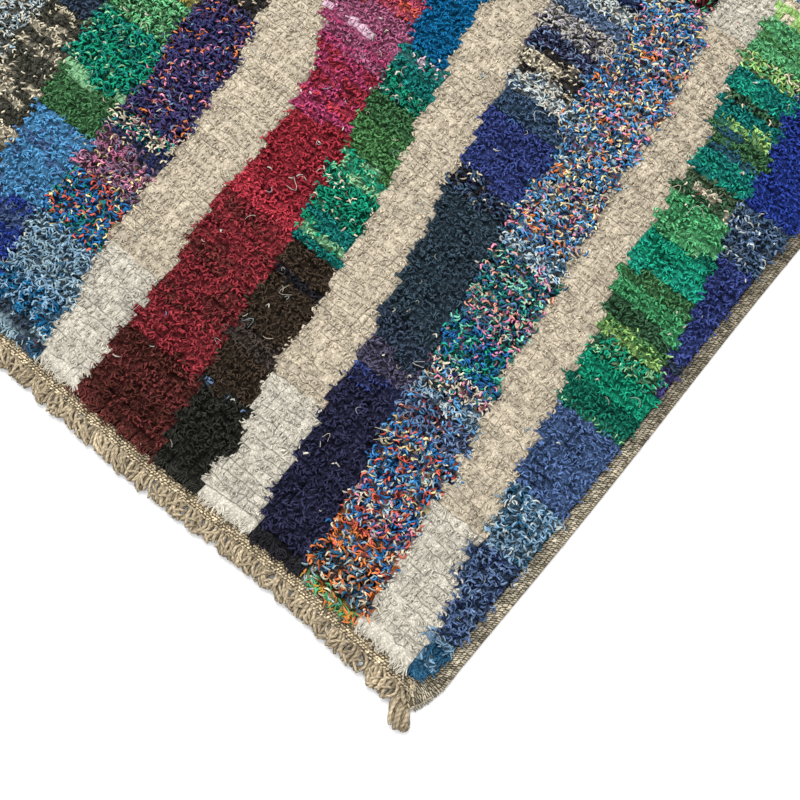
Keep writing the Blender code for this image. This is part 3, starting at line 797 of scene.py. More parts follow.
def sow_strands():
    near = closeness(*lay(knot_x, knot_y))
    light = mix_light[knot_mix]
    wanted = np.select([lively == 1, light > PALE_LIGHT, light < DARK_LIGHT],
                       [MIXED_STRANDS, PALE_STRANDS, DARK_STRANDS], PLAIN_STRANDS)
    grid_row, grid_column = np.indices(wanted.shape)
    side_rim = (np.minimum(grid_column, COLUMNS - 1 - grid_column) == 0) & (grid_row < 4)
    rim = (grid_row == 0) | side_rim
    change = np.zeros(wanted.shape)
    for axis in (0, 1):
        meets = np.diff(mix_light[knot_mix], axis=axis) != 0
        change = np.maximum(change, np.pad(meets, [(0, int(axis == i)) for i in (0, 1)]))
        change = np.maximum(change, np.pad(meets, [(int(axis == i), 0) for i in (0, 1)]))
    close = wanted + (RIM_STRANDS + DARK_RIM_STRANDS * (light < DARK_LIGHT)) * rim + MEETING_STRANDS * change
    number = np.floor(FAR_STRANDS + (close - FAR_STRANDS) * near + pencil.random(wanted.shape)).astype(int)
    row, column = np.divmod(np.repeat(np.arange(ROWS * COLUMNS), number.ravel()), COLUMNS)
    count = len(row)
    mixed, first, clumped = lively[row, column], rim[row, column], row < 4
    calm = mixed == 0
    side = pencil.choice((-1.0, 1.0), count)
    x = knot_x[row, column] + side * 0.0014 + pencil.normal(0, 0.0007, count) + 0.0012 * (column == 0)
    place_up = pencil.uniform(np.where(calm, -0.0002, -0.0032), np.where(calm, 0.0037, 0.0040))
    y = knot_y[row, column] + np.where(row == 0, pencil.uniform(-0.0040, 0.0002, count), place_up)
    x, y = lay(np.clip(x, -FIELD_HALF_WIDTH, FIELD_HALF_WIDTH),
               np.clip(y, -FIELD_HALF_LENGTH, FIELD_HALF_LENGTH))
    heading = pencil.normal(0, 1, count) * np.radians(48 + 26 * mixed - 12 * calm) * (1 - 0.4 * first)
    heading += 0.75 * side_rim[row, column] * np.sign(x)
    length = pencil.uniform(0.0028 + 0.0010 * mixed, 0.0046 + 0.0028 * mixed)
    length = np.where(first, pencil.uniform(0.0040, 0.0100 - 0.0008 * calm, count), length)
    length += first * calm * 0.0050 * np.clip((np.abs(x) - 0.550) / 0.012, 0, 1)     # longest by the corner
    length *= 1 - 0.28 * parted[row, column] * (~first)
    root = 0.0067 - 0.0012 * mixed - 0.0014 * first + 0.0008 * calm
    tip = 0.0084 - 0.0004 * mixed + pencil.uniform(-0.0008, 0.0010, count)
    tip = tip - pencil.uniform(0.0004, 0.0034, count) * first
    bow = pencil.choice((-1.0, 1.0), count) * pencil.uniform(0.2, 1, count) * (0.0030 + 0.0028 * mixed)
    ahead = np.stack([np.sin(heading), -np.cos(heading)], -1)
    aside = np.stack([ahead[:, 1], -ahead[:, 0]], -1)
    to_clump = FIELD_HALF_WIDTH - (column // 3 * 3 + 1.5) * KNOT_WIDTH - x
    flat = ahead * length[:, None]
    flat[:, 0] += (0.32 + 0.25 * first) * to_clump * clumped
    reach = np.concatenate([flat, (tip - root)[:, None]], -1)
    arch = (0.0036 + 0.0010 * mixed - 0.0012 * calm) * pencil.uniform(0.75, 1.15, count)
    bend = np.concatenate([flat * 0.5 + aside * bow[:, None], arch[:, None]], -1)
    dye = DYES[knot_yarn[row, column]]
    own_choice = pencil.random(count) < 0.15 + 0.6 * mixed
    take_another(dye, knot_mix[row, column], own_choice)
    dye[(pencil.random(count) < STRAY_PALE) & ~calm] = DYES[YARN_NAMES.index("white")]
    dye *= (tone[row, column] * pencil.normal(1, 0.08 + 0.12 * mixed, count).clip(0.3, 1.7))[:, None]
    dye *= np.where(pencil.random(count) < SHADED_SHARE * (mixed == 1), 0.25, 1)[:, None]
    girth = (0.00092 - 0.00006 * mixed - 0.00006 * calm) * pencil.normal(1, 0.14, count)
    return mixed, (np.stack([x, y, root], -1), reach, bend, girth, dye)


curl, sown = sow_strands()
order = np.arange(len(curl)) % 2 + 2 * (curl == 1)      # the mixed skeins' strands get one bend more
pile_strands = [grow_strands(f"pile_strands_{part}", pile_tree, pile_sockets, pile_wool,
                             *(values[order == part] for values in sown), bends=3 if part > 1 else 2)
                for part in range(PILE_PIECES)]
print(len(order), "strands;", sum(count_triangles(piece) for piece in pile_strands), "triangles")

# %% [markdown]
# Some fibres always come loose while a rug is made, mostly pale ones, and lie about on the pile. They are the
# same strands, only long, thin and few.

# %% Loose fibres
LOOSE_FIBRES, FIBRE_HEIGHT = 170, 0.0094
FIBRE_YARNS = (("white", 0.42), ("cream", 0.24), ("ice", 0.14), ("powder", 0.10), ("azure", 0.05),
               ("rose", 0.05))


def sow_loose_fibres():
    rng = np.random.default_rng(33)
    away = rng.uniform(CLOSE_NEAR, CLOSE_FAR, LOOSE_FIBRES)
    across = rng.uniform(-0.32, 0.32, LOOSE_FIBRES)
    x = AIM.x + across * math.cos(CAMERA_AZIMUTH) - away * math.sin(CAMERA_AZIMUTH)
    y = AIM.y + across * math.sin(CAMERA_AZIMUTH) + away * math.cos(CAMERA_AZIMUTH)
    kept = (np.abs(x) < FIELD_HALF_WIDTH - 0.004) & (np.abs(y) < FIELD_HALF_LENGTH - 0.004)
    x, y = x[kept], y[kept]
    count = len(x)
    heading, length = rng.uniform(0, 2 * np.pi, count), rng.gamma(2.0, 0.0022, count) + 0.0015
    flat = np.stack([np.cos(heading), np.sin(heading)], -1) * length[:, None]
    aside = np.stack([-flat[:, 1], flat[:, 0]], -1) * rng.normal(0, 1.3, (count, 1))
    reach = np.concatenate([flat, rng.normal(0, 0.0003, (count, 1))], -1)
    bend = np.concatenate([flat * 0.5 + aside, np.full((count, 1), 0.0012)], -1)
    names, shares = zip(*FIBRE_YARNS)
    dye = np.array([linear(YARNS[name]) for name in rng.choice(names, count, p=shares)])
    root = np.stack([x, y, np.full(count, FIBRE_HEIGHT)], -1)
    return root, reach, bend, rng.uniform(0.00018, 0.00034, count), dye


loose_fibres = grow_strands("loose_fibres", pile_tree, pile_sockets, pile_wool, *sow_loose_fibres(), bends=4)

# %% [markdown]
# Under the pile is the ground cloth of warps and wefts, and each knot is wrapped round a pair of its warps.
# So the underside shows the same stripes, sharper than above, in low ribs. It is one thin sheet, and each of
# its faces spans three knots of a row and takes the dye of the middle one.

# %% The ground cloth and its underside
def make_underside():
    material, shader, add, calculate = new_material("woven_underside")
    place = add("ShaderNodeTexCoord").outputs["Object"]
    rows, warps = (add("ShaderNodeTexWave", {"Scale": 2 * math.pi / (20 * pitch / 2), "Vector": place},
                       wave_type="BANDS", bands_direction=axis, wave_profile="SIN").outputs["Fac"]
                   for axis, pitch in (("Y", ROW_HEIGHT), ("X", KNOT_WIDTH)))
    fuzz = add("ShaderNodeTexNoise", {"Scale": 700, "Vector": place}).outputs["Fac"]
    ribs = calculate("MULTIPLY_ADD", calculate("MULTIPLY", rows, warps), 0.55, 0.35)
    mixed = calculate("MULTIPLY_ADD", fuzz, 0.35, ribs)
    colour_and_relief(add, shader, mixed, mixed, 0.6, 0.0010, 0.2)
    return material


def ground_cloth():
    x, y = lay(seam_x[:, ::3], seam_y[:, ::3])
    count = x.size
    numbers = np.arange(count).reshape(x.shape)
    a, b, c, d = numbers[:-1, :-1], numbers[:-1, 1:], numbers[1:, 1:], numbers[1:, :-1]
    under = np.stack([a, b, c, d], -1).reshape(-1, 4).tolist()      # clockwise from above, so it faces down
    ring = np.concatenate([numbers[0, :], numbers[1:, -1], numbers[-1, -2::-1], numbers[-2:0:-1, 0]])
    size = len(ring)
    points = np.concatenate([np.stack([x.ravel(), y.ravel(), np.zeros(count)], -1),
                             np.stack([x.ravel()[ring], y.ravel()[ring], np.full(size, CLOTH_TOP)], -1),
                             [[0, 0, CLOTH_TOP]]])
    walls = []
    for i in range(size):
        j = (i + 1) % size
        walls.append([count + i, count + j, int(ring[j]), int(ring[i])])
        walls.append([count + j, count + i, count + size])
    return points, under, walls


cloth_points, cloth_under, cloth_walls = ground_cloth()
ground = mesh_object("ground_cloth", cloth_points.tolist(), cloth_under + cloth_walls, make_underside())
corner_dye = np.tile(linear((150, 138, 112)), (len(ground.data.loops), 1))
corner_dye[:4 * len(cloth_under)] = np.repeat(knot_dye[:, 1::3].reshape(-1, 3), 4, 0)
paint(ground.data, "dye", corner_dye, "CORNER")
top_side = np.arange(len(cloth_points)) >= seam_x[:, ::3].size
bake_map(ground.data, np.where(top_side, 0.95 + 0.04 * (cloth_points[:, 0] / RUG_WIDTH + 0.5),
                               (cloth_points[:, 0] / RUG_WIDTH + 0.5) * 0.93),
         (cloth_points[:, 1] / RUG_LENGTH + 0.5) * 0.96 + top_side * 0.01)
print("ground cloth:", count_triangles(ground), "triangles")

# %% [markdown]
# The edges, the woven ends and the fringe are all of one natural yarn, a beige of wool and cotton that is
# never bleached. It is two plies twisted together. On the long strands the twist shows as painted light on
# the crowns of the plies and painted shade in the grooves between them, slanting, worked out from how far
# round and how far along the strand a point is. Every strand and stitch is also painted darker where it faces
# down or aside, as shade.

# %% Natural yarn
PLY_LENGTH = 0.0038               # from one ply to the next along a strand


def make_yarn():
    material, shader, add, calculate = new_material("natural_yarn")
    turn = add("ShaderNodeSeparateXYZ", {"Vector": stored(add, "round", "Vector")})
    along = calculate("MULTIPLY", stored(add, "along"), 2 * math.pi / PLY_LENGTH)
    cosine, sine = turn.outputs["X"], turn.outputs["Y"]
    sine_twice = calculate("MULTIPLY", calculate("MULTIPLY", sine, cosine), 2)
    cosine_twice = calculate("SUBTRACT", calculate("MULTIPLY", cosine, cosine),
                             calculate("MULTIPLY", sine, sine))
    plies = calculate("SUBTRACT", calculate("MULTIPLY", sine_twice, calculate("COSINE", along)),
                      calculate("MULTIPLY", cosine_twice, calculate("SINE", along)))
    streaks = add_streaks(add, 120)
    place = add("ShaderNodeTexCoord").outputs["Object"]
    soil = add("ShaderNodeTexNoise", {"Scale": 45, "Vector": place}).outputs["Fac"]
    uneven = add("ShaderNodeMapRange", {"Value": calculate("MULTIPLY_ADD", soil, 0.5, streaks),
                                        "From Min": 0.45, "From Max": 1.05, "To Min": 0.42, "To Max": 1.42})
    # painted light and shade: the twisted plies are lighter on their crowns and darker in the grooves between
    # them
    shade = calculate("MULTIPLY", uneven.outputs["Result"], calculate("MULTIPLY_ADD", plies, 0.30, 1.0))
    # painted shade from height: darker where the strand or grain faces down or aside
    shade = calculate("MULTIPLY", shade, calculate("MULTIPLY_ADD", stored(add, "height"), 0.72, 0.28))
    colour_and_relief(add, shader, shade, calculate("MULTIPLY_ADD", plies, 0.30, streaks), 0.6, 0.0006, 0.05)
    return material


natural_yarn = make_yarn()
WOVEN, OVERCAST, LOOPED = linear((246, 227, 191)), linear((200, 190, 167)), linear((178, 162, 135))
# painted shade: these darker yarn colours are for the edge cores and the end strips, which show only in the
# gaps between the stitches
SHADED, SHADED_STRIP = linear((104, 91, 69)), linear((158, 141, 112))     # what the stitches cover

# %% [markdown]
# Each stitch of the edges and the woven ends is a short plump grain that lies over the ones beside it, and
# thousands of them are needed. A second tree sets one smooth grain on every point, turned and sized as stored
# there.

# %% A tree that sets stitches
def stitch_tree():
    tree = bpy.data.node_groups.new("laid_stitches", "GeometryNodeTree")
    sockets = {}
    for label, kind in (("Places", "NodeSocketGeometry"), ("Sides", "NodeSocketInt"),
                        ("Rings", "NodeSocketInt"), ("Finish", "NodeSocketMaterial")):
        sockets[label] = tree.interface.new_socket(label, in_out="INPUT", socket_type=kind).identifier
    tree.interface.new_socket("Stitches", in_out="OUTPUT", socket_type="NodeSocketGeometry")
    add, _ = node_tools(tree)
    given, result = add("NodeGroupInput").outputs, add("NodeGroupOutput")
    grain = add("GeometryNodeMeshUVSphere", {"Segments": given["Sides"], "Rings": given["Rings"],
                                             "Radius": 1.0})
    turn, size = (add("GeometryNodeInputNamedAttribute", {"Name": label}, data_type="FLOAT_VECTOR")
                  for label in ("turn", "size"))
    placed = add("GeometryNodeInstanceOnPoints", {
        "Points": given["Places"], "Instance": grain.outputs["Mesh"],
        "Rotation": turn.outputs["Attribute"], "Scale": size.outputs["Attribute"]})
    real = add("GeometryNodeRealizeInstances", {"Geometry": placed.outputs["Instances"]})
    smooth = add("GeometryNodeSetShadeSmooth", {"Geometry": real.outputs["Geometry"]})
    dressed = add("GeometryNodeSetMaterial", {"Geometry": smooth.outputs["Geometry"],
                                              "Material": given["Finish"]})
    feed(result, {0: dressed.outputs["Geometry"]})
    return tree, sockets


stitches, stitch_sockets = stitch_tree()


def lay_stitches(name, places, turn, size, dye, sides=4, rings=3):
    """The grain's long axis is its own Z, so a turn of (90 degrees, 0, heading) lays it down."""
    seeds = mesh_object(name + "_places", np.asarray(places).tolist(), [])
    mark(seeds.data, "turn", "FLOAT_VECTOR", turn)
    mark(seeds.data, "size", "FLOAT_VECTOR", size)
    paint(seeds.data, "dye", dye)
    settings = {stitch_sockets["Sides"]: sides, stitch_sockets["Rings"]: rings,
                stitch_sockets["Finish"]: natural_yarn}
    piece = run_tree(name, stitches, settings, seeds)
    for label in ("turn", "size"):
        piece.data.attributes.remove(piece.data.attributes[label])
    # painted shade: each grain keeps in height how far it faces up, and is darker where it faces down or
    # aside
    mark(piece.data, "height", "FLOAT", faces_up(piece.data))
    grain_map(piece.data, len(places))
    return piece


def grain_map(mesh, count):
    """A square of its own on the flat map for each grain: its points in turn round a small spiral."""
    each = len(mesh.vertices) // count
    grain, within = np.divmod(np.arange(len(mesh.vertices)), each)
    per_row = math.ceil(math.sqrt(count))
    angle = 2 * np.pi * within * 0.382
    radius = 0.12 + 0.3 * within / each
    bake_map(mesh, (grain % per_row + 0.5 + radius * np.cos(angle)) / per_row,
             (grain // per_row + 0.5 + radius * np.sin(angle)) / per_row)


def uneven_shades(colour, count, spread=0.16):
    return colour * pencil.normal(1, spread, count).clip(0.4, 1.5)[:, None]


# %% [markdown]
# Along each long side the weaver wraps yarn over the two outermost cords, to keep the edge from wearing. The
# wraps lie close together and aslant, and each shows as four short strokes side by side. Round the corner
# they fan out, with more strokes to fill the width, and the ends are tied off there in a small tassel.

# %% The overcast edges
EDGE_GAP, EDGE_WIDTH = 0.0003, 0.0122
BEND_RADIUS, BEND_REACH = 0.080, 0.0385
EDGE_SECTION = ((0.00, 0.0000), (0.00, 0.0034), (0.30, 0.0043), (0.65, 0.0048), (0.90, 0.0036),
                (1.00, 0.0019), (0.93, 0.0000))
WRAP_PITCH, WRAP_SLANT, STROKE, EDGE_CORE = 0.00180, math.radians(34), 0.0031, 0.72


def bend_station(reach):
    """The inner and outer point of the edge in a corner, from the centre of the pile's corner."""
    outer = HALF_WIDTH - CORNER_X - (BEND_RADIUS - math.sqrt(BEND_RADIUS ** 2 - reach ** 2))
    angle = math.atan2(reach, outer)
    inner = PILE_CORNER + EDGE_GAP
    return (inner * math.cos(angle), inner * math.sin(angle)), (outer, reach)


def edge_stations(pitch):
    """Inner and outer points of the right-hand edge from the front corner to the back one."""
    steps = max(2, round(BEND_REACH / pitch)) + 1
    bends = [bend_station(BEND_REACH * share) for share in np.linspace(1, 0, steps)]
    front = [((CORNER_X + a[0], -CORNER_Y - a[1]), (CORNER_X + b[0], -CORNER_Y - b[1])) for a, b in bends]
    straight = [((FIELD_HALF_WIDTH + EDGE_GAP, y), (HALF_WIDTH, y))
                for y in np.linspace(-CORNER_Y, CORNER_Y, round(2 * CORNER_Y / pitch) + 1)[1:-1]]
    rear = [((a[0], -a[1]), (b[0], -b[1])) for a, b in reversed(front)]
    return np.array(front + straight + rear)


def edge_core(name, side):
    stations = edge_stations(0.010)
    inner, outer = stations[:, 0], stations[:, 1]
    rings = []
    for share, height in EDGE_SECTION:
        flat = inner + (outer - inner) * (0.02 + share * 0.94)
        x, y = settle(flat[:, 0] * side, flat[:, 1])
        rings.append(np.stack([x, y, np.full(len(x), height * EDGE_CORE)], -1))
    points = np.stack(rings, 1).reshape(-1, 3)
    each, count = len(EDGE_SECTION), len(stations)
    faces = []
    for i in range(count - 1):
        for j in range(each):
            k = (j + 1) % each
            quad = [i * each + j, i * each + k, (i + 1) * each + k, (i + 1) * each + j]
            faces.append(quad if side > 0 else quad[::-1])
    faces.append(list(range(each))[::-1 if side > 0 else 1])
    faces.append([(count - 1) * each + j for j in range(each)][::1 if side > 0 else -1])
    core = mesh_object(name, points.tolist(), faces, natural_yarn)
    # painted shade: the core is dyed dark, as the shade between the wraps
    paint(core.data, "dye", np.tile(SHADED, (len(points), 1)))
    mark(core.data, "height", "FLOAT", np.ones(len(points)))
    bake_map(core.data, 0.02 + 0.9 * (points[:, 1] / RUG_LENGTH + 0.5),
             0.1 + 0.7 * np.tile(np.arange(each) / each, count) + 0.1 * points[:, 2] / 0.005)
    return core


def edge_wraps(name, side, rings):
    stations = edge_stations(WRAP_PITCH)
    across = stations[:, 1] - stations[:, 0]
    width = np.hypot(*across.T)
    number = np.round(width / STROKE).astype(int)
    at = np.repeat(np.arange(len(width)), number)
    count = len(at)
    share = (np.arange(count) - np.repeat(np.cumsum(number) - number, number) + 0.5) / number[at]
    heading = np.arctan2(across[:, 1], across[:, 0])[at] + WRAP_SLANT
    along = np.stack([-across[:, 1], across[:, 0]], -1)[at] / width[at, None]
    centre = stations[at, 0] + across[at] * (0.965 * share + pencil.normal(0, 0.012, count))[:, None]
    steps = [np.hypot(*np.gradient(stations[:, edge], axis=0).T)[at] / WRAP_PITCH for edge in (0, 1)]
    spread = steps[0] + (steps[1] - steps[0]) * share
    shift = (share - 0.5) * EDGE_WIDTH * math.tan(WRAP_SLANT)
    centre = centre + along * (shift + pencil.normal(0, 0.00025, count))[:, None]
    x, y = settle(centre[:, 0] * side, centre[:, 1])
    profile = np.array(EDGE_SECTION)[1:6]
    tops = [np.interp(share + step, profile[:, 0], profile[:, 1]) for step in (-0.1, 0, 0.1)]
    droop = np.arctan((tops[0] - tops[2]) / (0.2 * width[at]))
    half = 0.00092 * pencil.normal(1, 0.14, count)
    z = tops[1] - half * 0.95 + pencil.normal(0, 0.00018, count)
    turn = np.stack([np.zeros(count), math.pi / 2 + droop,
                     (heading if side > 0 else math.pi - heading) + pencil.normal(0, 0.14, count)], -1)
    size = np.stack([half, half * spread.clip(0.75, 1.5),
                     (width / number)[at] * pencil.normal(0.70, 0.06, count)], -1)
    skein = 0.80 + 0.20 * np.cos(2 * np.pi * (y + 0.75) / 0.7)       # a paler and a darker skein by turns
    return lay_stitches(name, np.stack([x, y, z], -1), turn, size,
                        uneven_shades(OVERCAST, count, 0.30) * skein[:, None], rings=rings)


edge_right, edge_left = edge_core("edge_right", 1), edge_core("edge_left", -1)
wraps_right, wraps_left = edge_wraps("edge_wraps_right", 1, 3), edge_wraps("edge_wraps_left", -1, 2)

# %% [markdown]
# Before the first row of knots, the weaver makes a strip of plain cloth, and another after the last row. Seen
# close it is a chequer of small beads, where each thread goes over its neighbour. Six rows of beads show it.
# At the corners it runs out into a small plate between the pile's round corner and the bend of the edge.

# %% The woven ends
END_WEAVE, END_WEAVE_TOP = 0.0115, 0.0030
BEAD_WIDTH, BEAD_ROWS, BEAD_PITCH = 0.0026, 6, 0.00215
CORNER_PLATE = np.array(((1.2, 26.8), (-0.6, 26.6), (-0.6, 15.4), (3.2, 15.1), (6.3, 14.2),
                         (17.2, 38.0))) / 1000


def end_strip(name, side):
    xs = np.linspace(-CORNER_X, CORNER_X, 46)
    rings = []
    for share, height in ((0.02, 0.0), (0.02, 0.0015), (0.5, 0.0017), (0.98, 0.0015), (0.98, 0.0)):
        x, y = settle(xs, np.full_like(xs, side * (ROOT_LINE - END_WEAVE + share * END_WEAVE)))
        rings.append(np.stack([x, y, np.full(len(x), height)], -1))
    points = np.stack(rings, 1).reshape(-1, 3)
    each, count = 5, len(xs)
    faces = []
    for i in range(count - 1):
        for j in range(each):
            k = (j + 1) % each
            quad = [i * each + j, (i + 1) * each + j, (i + 1) * each + k, i * each + k]
            faces.append(quad[::-1] if side < 0 else quad)
    faces.append(list(range(each))[::-1 if side < 0 else 1])
    faces.append([(count - 1) * each + j for j in range(each)][::1 if side < 0 else -1])
    plates, size = [points], len(CORNER_PLATE)
    for side_x in (-1, 1):
        first = count * each + (0 if side_x < 0 else 2 * size)
        x, y = settle(side_x * (CORNER_X + CORNER_PLATE[:, 0]), side * (CORNER_Y + CORNER_PLATE[:, 1]))
        plates += [np.stack([x, y, np.full(size, height)], -1) for height in (0.0017, 0.0)]
        rim = list(range(size)) if side_x * side > 0 else list(range(size))[::-1]
        fan = rim[rim.index(0):] + rim[:rim.index(0)]
        for i in range(1, size - 1):
            faces.append([first + fan[0], first + fan[i], first + fan[i + 1]])
            faces.append([first + size + fan[i + 1], first + size + fan[i], first + size + fan[0]])
        for a, b in zip(fan, fan[1:] + fan[:1]):
            faces.append([first + b, first + a, first + size + a, first + size + b])
    points = np.concatenate(plates)
    strip = mesh_object(name, points.tolist(), faces, natural_yarn)
    # painted shade: the strip is dyed darker, as the shade between the beads
    paint(strip.data, "dye", np.tile(SHADED_STRIP, (len(points), 1)))
    mark(strip.data, "height", "FLOAT", np.ones(len(points)))
    ring_share = np.concatenate([np.tile(np.arange(each) / each, count), np.linspace(0.2, 0.8, 4 * size)])
    bake_map(strip.data, 0.02 + 0.95 * (points[:, 0] / RUG_WIDTH + 0.5),
             0.1 + 0.6 * ring_share + 0.1 * points[:, 2] / 0.003)
    return strip


def within(x, y, outline):
    """Points lie inside an outline if a line from each out to the side crosses it an odd number of times."""
    crossings = np.zeros(len(x), int)
    for (ax, ay), (bx, by) in zip(outline, np.roll(outline, -1, 0)):
        spans = (ay > y) != (by > y)
        crossings += spans & (x < (bx - ax) * (y - ay) / (by - ay + 1e-12) + ax)
    return crossings % 2 == 1


def end_beads(name, side, rings):
    columns = round(2 * CORNER_X / BEAD_WIDTH)
    column, row = np.meshgrid(np.arange(columns), np.arange(BEAD_ROWS))
    x = (-CORNER_X + (column + 0.5 + 0.5 * (row % 2) - 0.25) * 2 * CORNER_X / columns).ravel()
    y = (ROOT_LINE - END_WEAVE + 0.0008 + (row + 0.5) * BEAD_PITCH).ravel()
    heading, higher = 0.15 + 0.5 * ((column + row // 2) % 2).ravel(), np.zeros(len(x))
    plate_grid = np.meshgrid(np.arange(-0.001, 0.018, 0.0023), np.arange(0.014, 0.039, 0.0018))
    grid_x, grid_y = (values.ravel() for values in plate_grid)
    grid_x = grid_x + 0.0011 * (np.round(grid_y / 0.0018) % 2)
    inside = within(grid_x, grid_y, CORNER_PLATE)
    for side_x in (-1, 1):
        edge = math.atan2(side * 24.6, 11.2) + WRAP_SLANT
        edge = (edge if side_x > 0 else math.pi - edge) % math.pi
        edge -= math.pi * (edge > math.pi / 2)
        nearness = np.clip(grid_x[inside] / 0.010, 0, 1)
        x = np.concatenate([x, side_x * (CORNER_X + grid_x[inside])])
        y = np.concatenate([y, CORNER_Y + grid_y[inside]])
        heading = np.concatenate([heading, 0.25 + (edge - 0.25) * nearness])
        higher = np.concatenate([higher, 0.0012 * nearness])
    count = len(x)
    x, y = settle(x + pencil.normal(0, 0.0003, count), side * (y + pencil.normal(0, 0.00025, count)))
    plump = pencil.normal(1, 0.13, count)
    z = (END_WEAVE_TOP - 0.0010 + higher + pencil.choice((0.0, 0.0005), count)
         + pencil.normal(0, 0.0002, count))
    z = np.maximum(z, 0.0013 * plump)
    turn = np.stack([np.zeros(count), np.full(count, math.pi / 2),
                     heading + pencil.normal(0, 0.35, count)], -1)
    size = np.stack([np.full(count, 0.00126), np.full(count, 0.00120),
                     0.00150 + 0.0007 * higher / 0.0012], -1)
    on_plate = np.where(np.abs(x) > CORNER_X - 0.001, 0.58, 1)[:, None]
    return lay_stitches(name, np.stack([x, y, z], -1), turn, size * plump[:, None],
                        uneven_shades(WOVEN, count, 0.22) * on_plate, rings=rings)


end_front, end_back = end_strip("end_weave_front", -1), end_strip("end_weave_back", 1)
beads_front, beads_back = end_beads("end_beads_front", -1, 3), end_beads("end_beads_back", 1, 2)

# %% [markdown]
# Past the woven strip the warps come out, loop back on themselves and are held in small bunches: a narrow
# root, then five plump strands that fan out and end round, with yarn once or twice round them. Some roots
# stand apart, with a small hole between them. At each corner the edge yarn and the last warps are tied in a
# tassel.

# %% Fringe and corner tassels
LOCK_COUNT, LOCK_LENGTH, LOCK_LEAN, LOCK_STRANDS = 120, 0.0158, math.radians(14), 5
CORNER_RUN = 0.040                # near the corners the loops grow a fifth longer
yarn_tree, yarn_sockets = grow_tree("yarn_strands", (0.75, 1.0, 1.08, 0.70))


def tie_strands(name, strands, sides, bends):
    """Each strand is its root, a place on its way, its tip, its thickness and its colour."""
    root, middle, tip = (np.array([strand[i] for strand in strands]) for i in range(3))
    for points in (root, middle, tip):
        points[:, 0], points[:, 1] = settle(points[:, 0], points[:, 1])
    reach = tip - root
    girth, dye = np.array([strand[3] for strand in strands]), np.array([strand[4] for strand in strands])
    bend = 2 * (middle - root) - 0.5 * reach
    return grow_strands(name, yarn_tree, yarn_sockets, natural_yarn, root, reach, bend, girth, dye,
                        sides=sides, bends=bends, gather=1.5)


def fringe(name, side, seed, sides, bends):
    rng = np.random.default_rng(seed)
    spacing = 2 * CORNER_X / LOCK_COUNT
    drawn_in = 0.35 * spacing * (rng.random(LOCK_COUNT + 1) < 0.34)      # on both sides of a gap at the roots
    strands = []
    for lock in range(LOCK_COUNT):
        x = -CORNER_X + spacing * (lock + 0.5 + rng.normal(0, 0.08))
        to_corner = max(0, 1 - (CORNER_X - abs(x)) / CORNER_RUN)
        length = LOCK_LENGTH * (1 + 0.20 * to_corner) * rng.uniform(0.93, 1.05)
        lean = math.tan(LOCK_LEAN + math.radians(3) * math.sin(9 * x) + rng.normal(0, 0.14))
        left, right = x - 0.46 * spacing + drawn_in[lock], x + 0.46 * spacing - drawn_in[lock + 1]
        shade = LOOPED * rng.normal(1, 0.10)
        for strand in range(LOCK_STRANDS):
            share = strand / (LOCK_STRANDS - 1) - 0.5
            # painted shade: the strands that lie under their neighbours are darker
            under = strand % 2
            out = length * (1 - 0.55 * share ** 2) * rng.normal(1, 0.03) - 0.0008
            crossing = rng.normal(0, 0.17)
            strands.append((
                (left + (share + 0.5) * (right - left), side * (ROOT_LINE + 0.0004), 0.0021),
                (x + lean * 0.5 * out + (share * 1.14 + crossing) * spacing, side * (ROOT_LINE + 0.5 * out),
                 0.0040 - 0.0017 * under + max(-0.0005, rng.normal(0, 0.0003))),
                (x + lean * out + (share * 0.90 - crossing) * spacing, side * (ROOT_LINE + out),
                 0.0028 - 0.0006 * under),
                0.00162 * min(1.15, rng.normal(1, 0.10)), shade * (1 - 0.42 * under) * rng.normal(1, 0.18)))
        for place in (0.30, 0.58)[:rng.choice((1, 2, 2))]:      # and yarn goes once or twice round the loops
            slant = rng.choice((-1, 1))
            ends = place + rng.normal(0, 0.05), place + 0.36 + rng.normal(0, 0.05)
            strands.append((
                (x - slant * 0.44 * spacing + lean * ends[0] * length,
                 side * (ROOT_LINE + ends[0] * length), 0.0028),
                (x + lean * place * length, side * (ROOT_LINE + (place + 0.20) * length), 0.0056),
                (x + slant * 0.38 * spacing + lean * ends[1] * length,
                 side * (ROOT_LINE + ends[1] * length), 0.0034),
                0.00122, shade * rng.normal(1.0, 0.14)))
    return tie_strands(name, strands, sides, bends)


TASSEL_LINES = np.array((((0.6, 27.4), (16.6, 38.6)), ((4.5, 44.5), (23.0, 43.5)),
                         ((15.0, 56.8), (28.0, 50.0)))) / 1000
TASSEL_HEIGHTS = (0.0030, 0.0048, 0.0028)


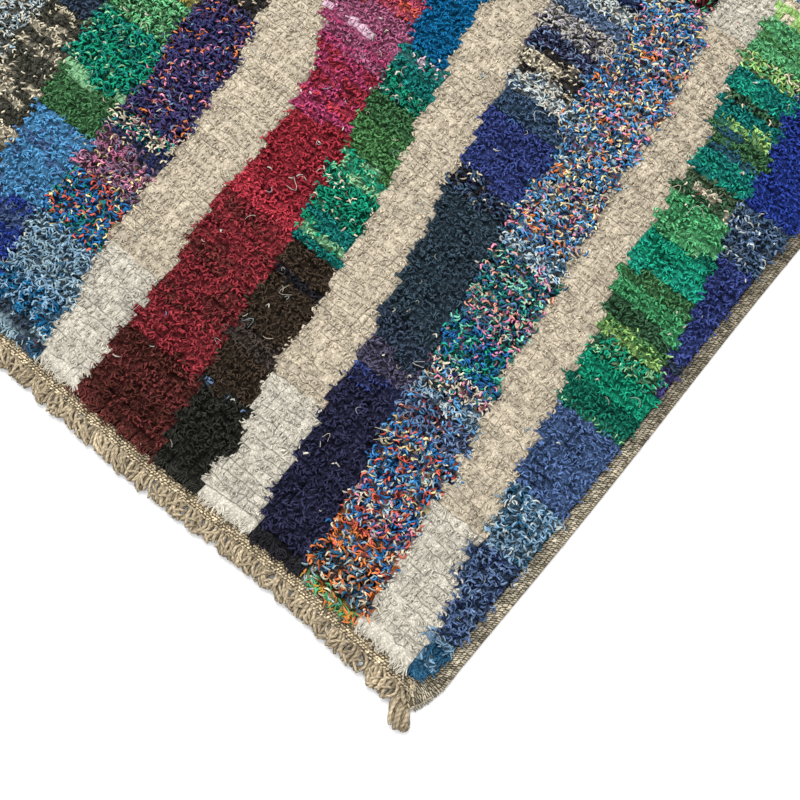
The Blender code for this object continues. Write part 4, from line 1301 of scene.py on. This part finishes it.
def tassels(name, side, seed):
    rng = np.random.default_rng(seed)
    strands = []
    for side_x in (-1, 1):
        # painted shade: the lower layer of strands is darker than the upper one
        for layer, count in ((0, 8), (1, 7)):
            for strand in range(count):
                share, twist = (strand + 0.5) / count, 0.20 - 0.40 * layer
                places = []
                rounded = 1 - 0.34 * (2 * share - 1) ** 2
                for step, ((first, last), height) in enumerate(zip(TASSEL_LINES, TASSEL_HEIGHTS)):
                    lies = min(1.0, max(0.0, share + twist * (step - 1)))
                    across = first + (last - first) * (lies + rng.normal(0, (0.04, 0.06, 0.07)[step]))
                    if step == 2:
                        across = TASSEL_LINES[0].mean(0) + (across - TASSEL_LINES[0].mean(0)) * rounded
                    places.append((side_x * (CORNER_X + across[0]), side * (CORNER_Y + across[1]),
                                   height - 0.0012 + 0.0016 * layer))
                strands.append((*places, 0.00158 * rng.normal(1, 0.10),
                                LOOPED * (0.62 + 0.28 * layer) * rng.normal(1, 0.16)))
        for turn in range(3):
            share = 0.30 + 0.16 * turn
            start = TASSEL_LINES[0][0] * (1 - share) + TASSEL_LINES[0][1] * share
            end = TASSEL_LINES[1].mean(0)
            middle = start + (end - start) * 0.35
            strands.append(tuple((side_x * (CORNER_X + place[0]), side * (CORNER_Y + place[1]), height)
                                 for place, height in ((start - 0.0015, 0.0036), (start + 0.0010, 0.0056),
                                                       (middle, 0.0052))) + (0.0013, LOOPED * 0.9))
        # a cord ends the edge in a clean line
        bend = [bend_station(BEND_REACH * share)[1] for share in (0, 0.5, 1)]
        strands.append((*((side_x * (CORNER_X + out - 0.0010), side * (CORNER_Y + up - 0.0004), 0.0013)
                          for out, up in bend), 0.0011, OVERCAST * 0.8))
    return tie_strands(name, strands, sides=6, bends=7)


fringe_front = fringe("fringe_loops_front", -1, 11, sides=5, bends=5)
fringe_back = fringe("fringe_loops_back", 1, 12, sides=4, bends=3)
tassels_front, tassels_back = tassels("tassels_front", -1, 21), tassels("tassels_back", 1, 22)

# %% [markdown]
# The finished pieces, the pile, the edges and the ends with their fringe, are all tied to one root body,
# and the imported solids that they stand for are hidden. Then the triangles of every piece are counted.

# %% Tie the pieces to one body
pile_pieces = [pile_bed, *pile_strands, loose_fibres]
edge_pieces = [edge_right, edge_left, wraps_right, wraps_left]
end_pieces = [end_front, end_back, beads_front, beads_back, fringe_front, fringe_back, tassels_front,
              tassels_back]
for group, slot_name in (([ground, *pile_pieces], "pile"), (edge_pieces, "edge_yarn"),
                         (end_pieces, "warp_yarn")):
    for piece in group:
        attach(piece, "root")
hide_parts("rug_field")
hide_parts("selvedge_right")
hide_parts("selvedge_left")
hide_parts("fringe_front")
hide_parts("fringe_back")

total = 0
for piece in [ground, *pile_pieces, *edge_pieces, *end_pieces]:
    triangles = count_triangles(piece)
    total += triangles
    print(f"{piece.name}: {triangles} triangles")
print("in all", total)
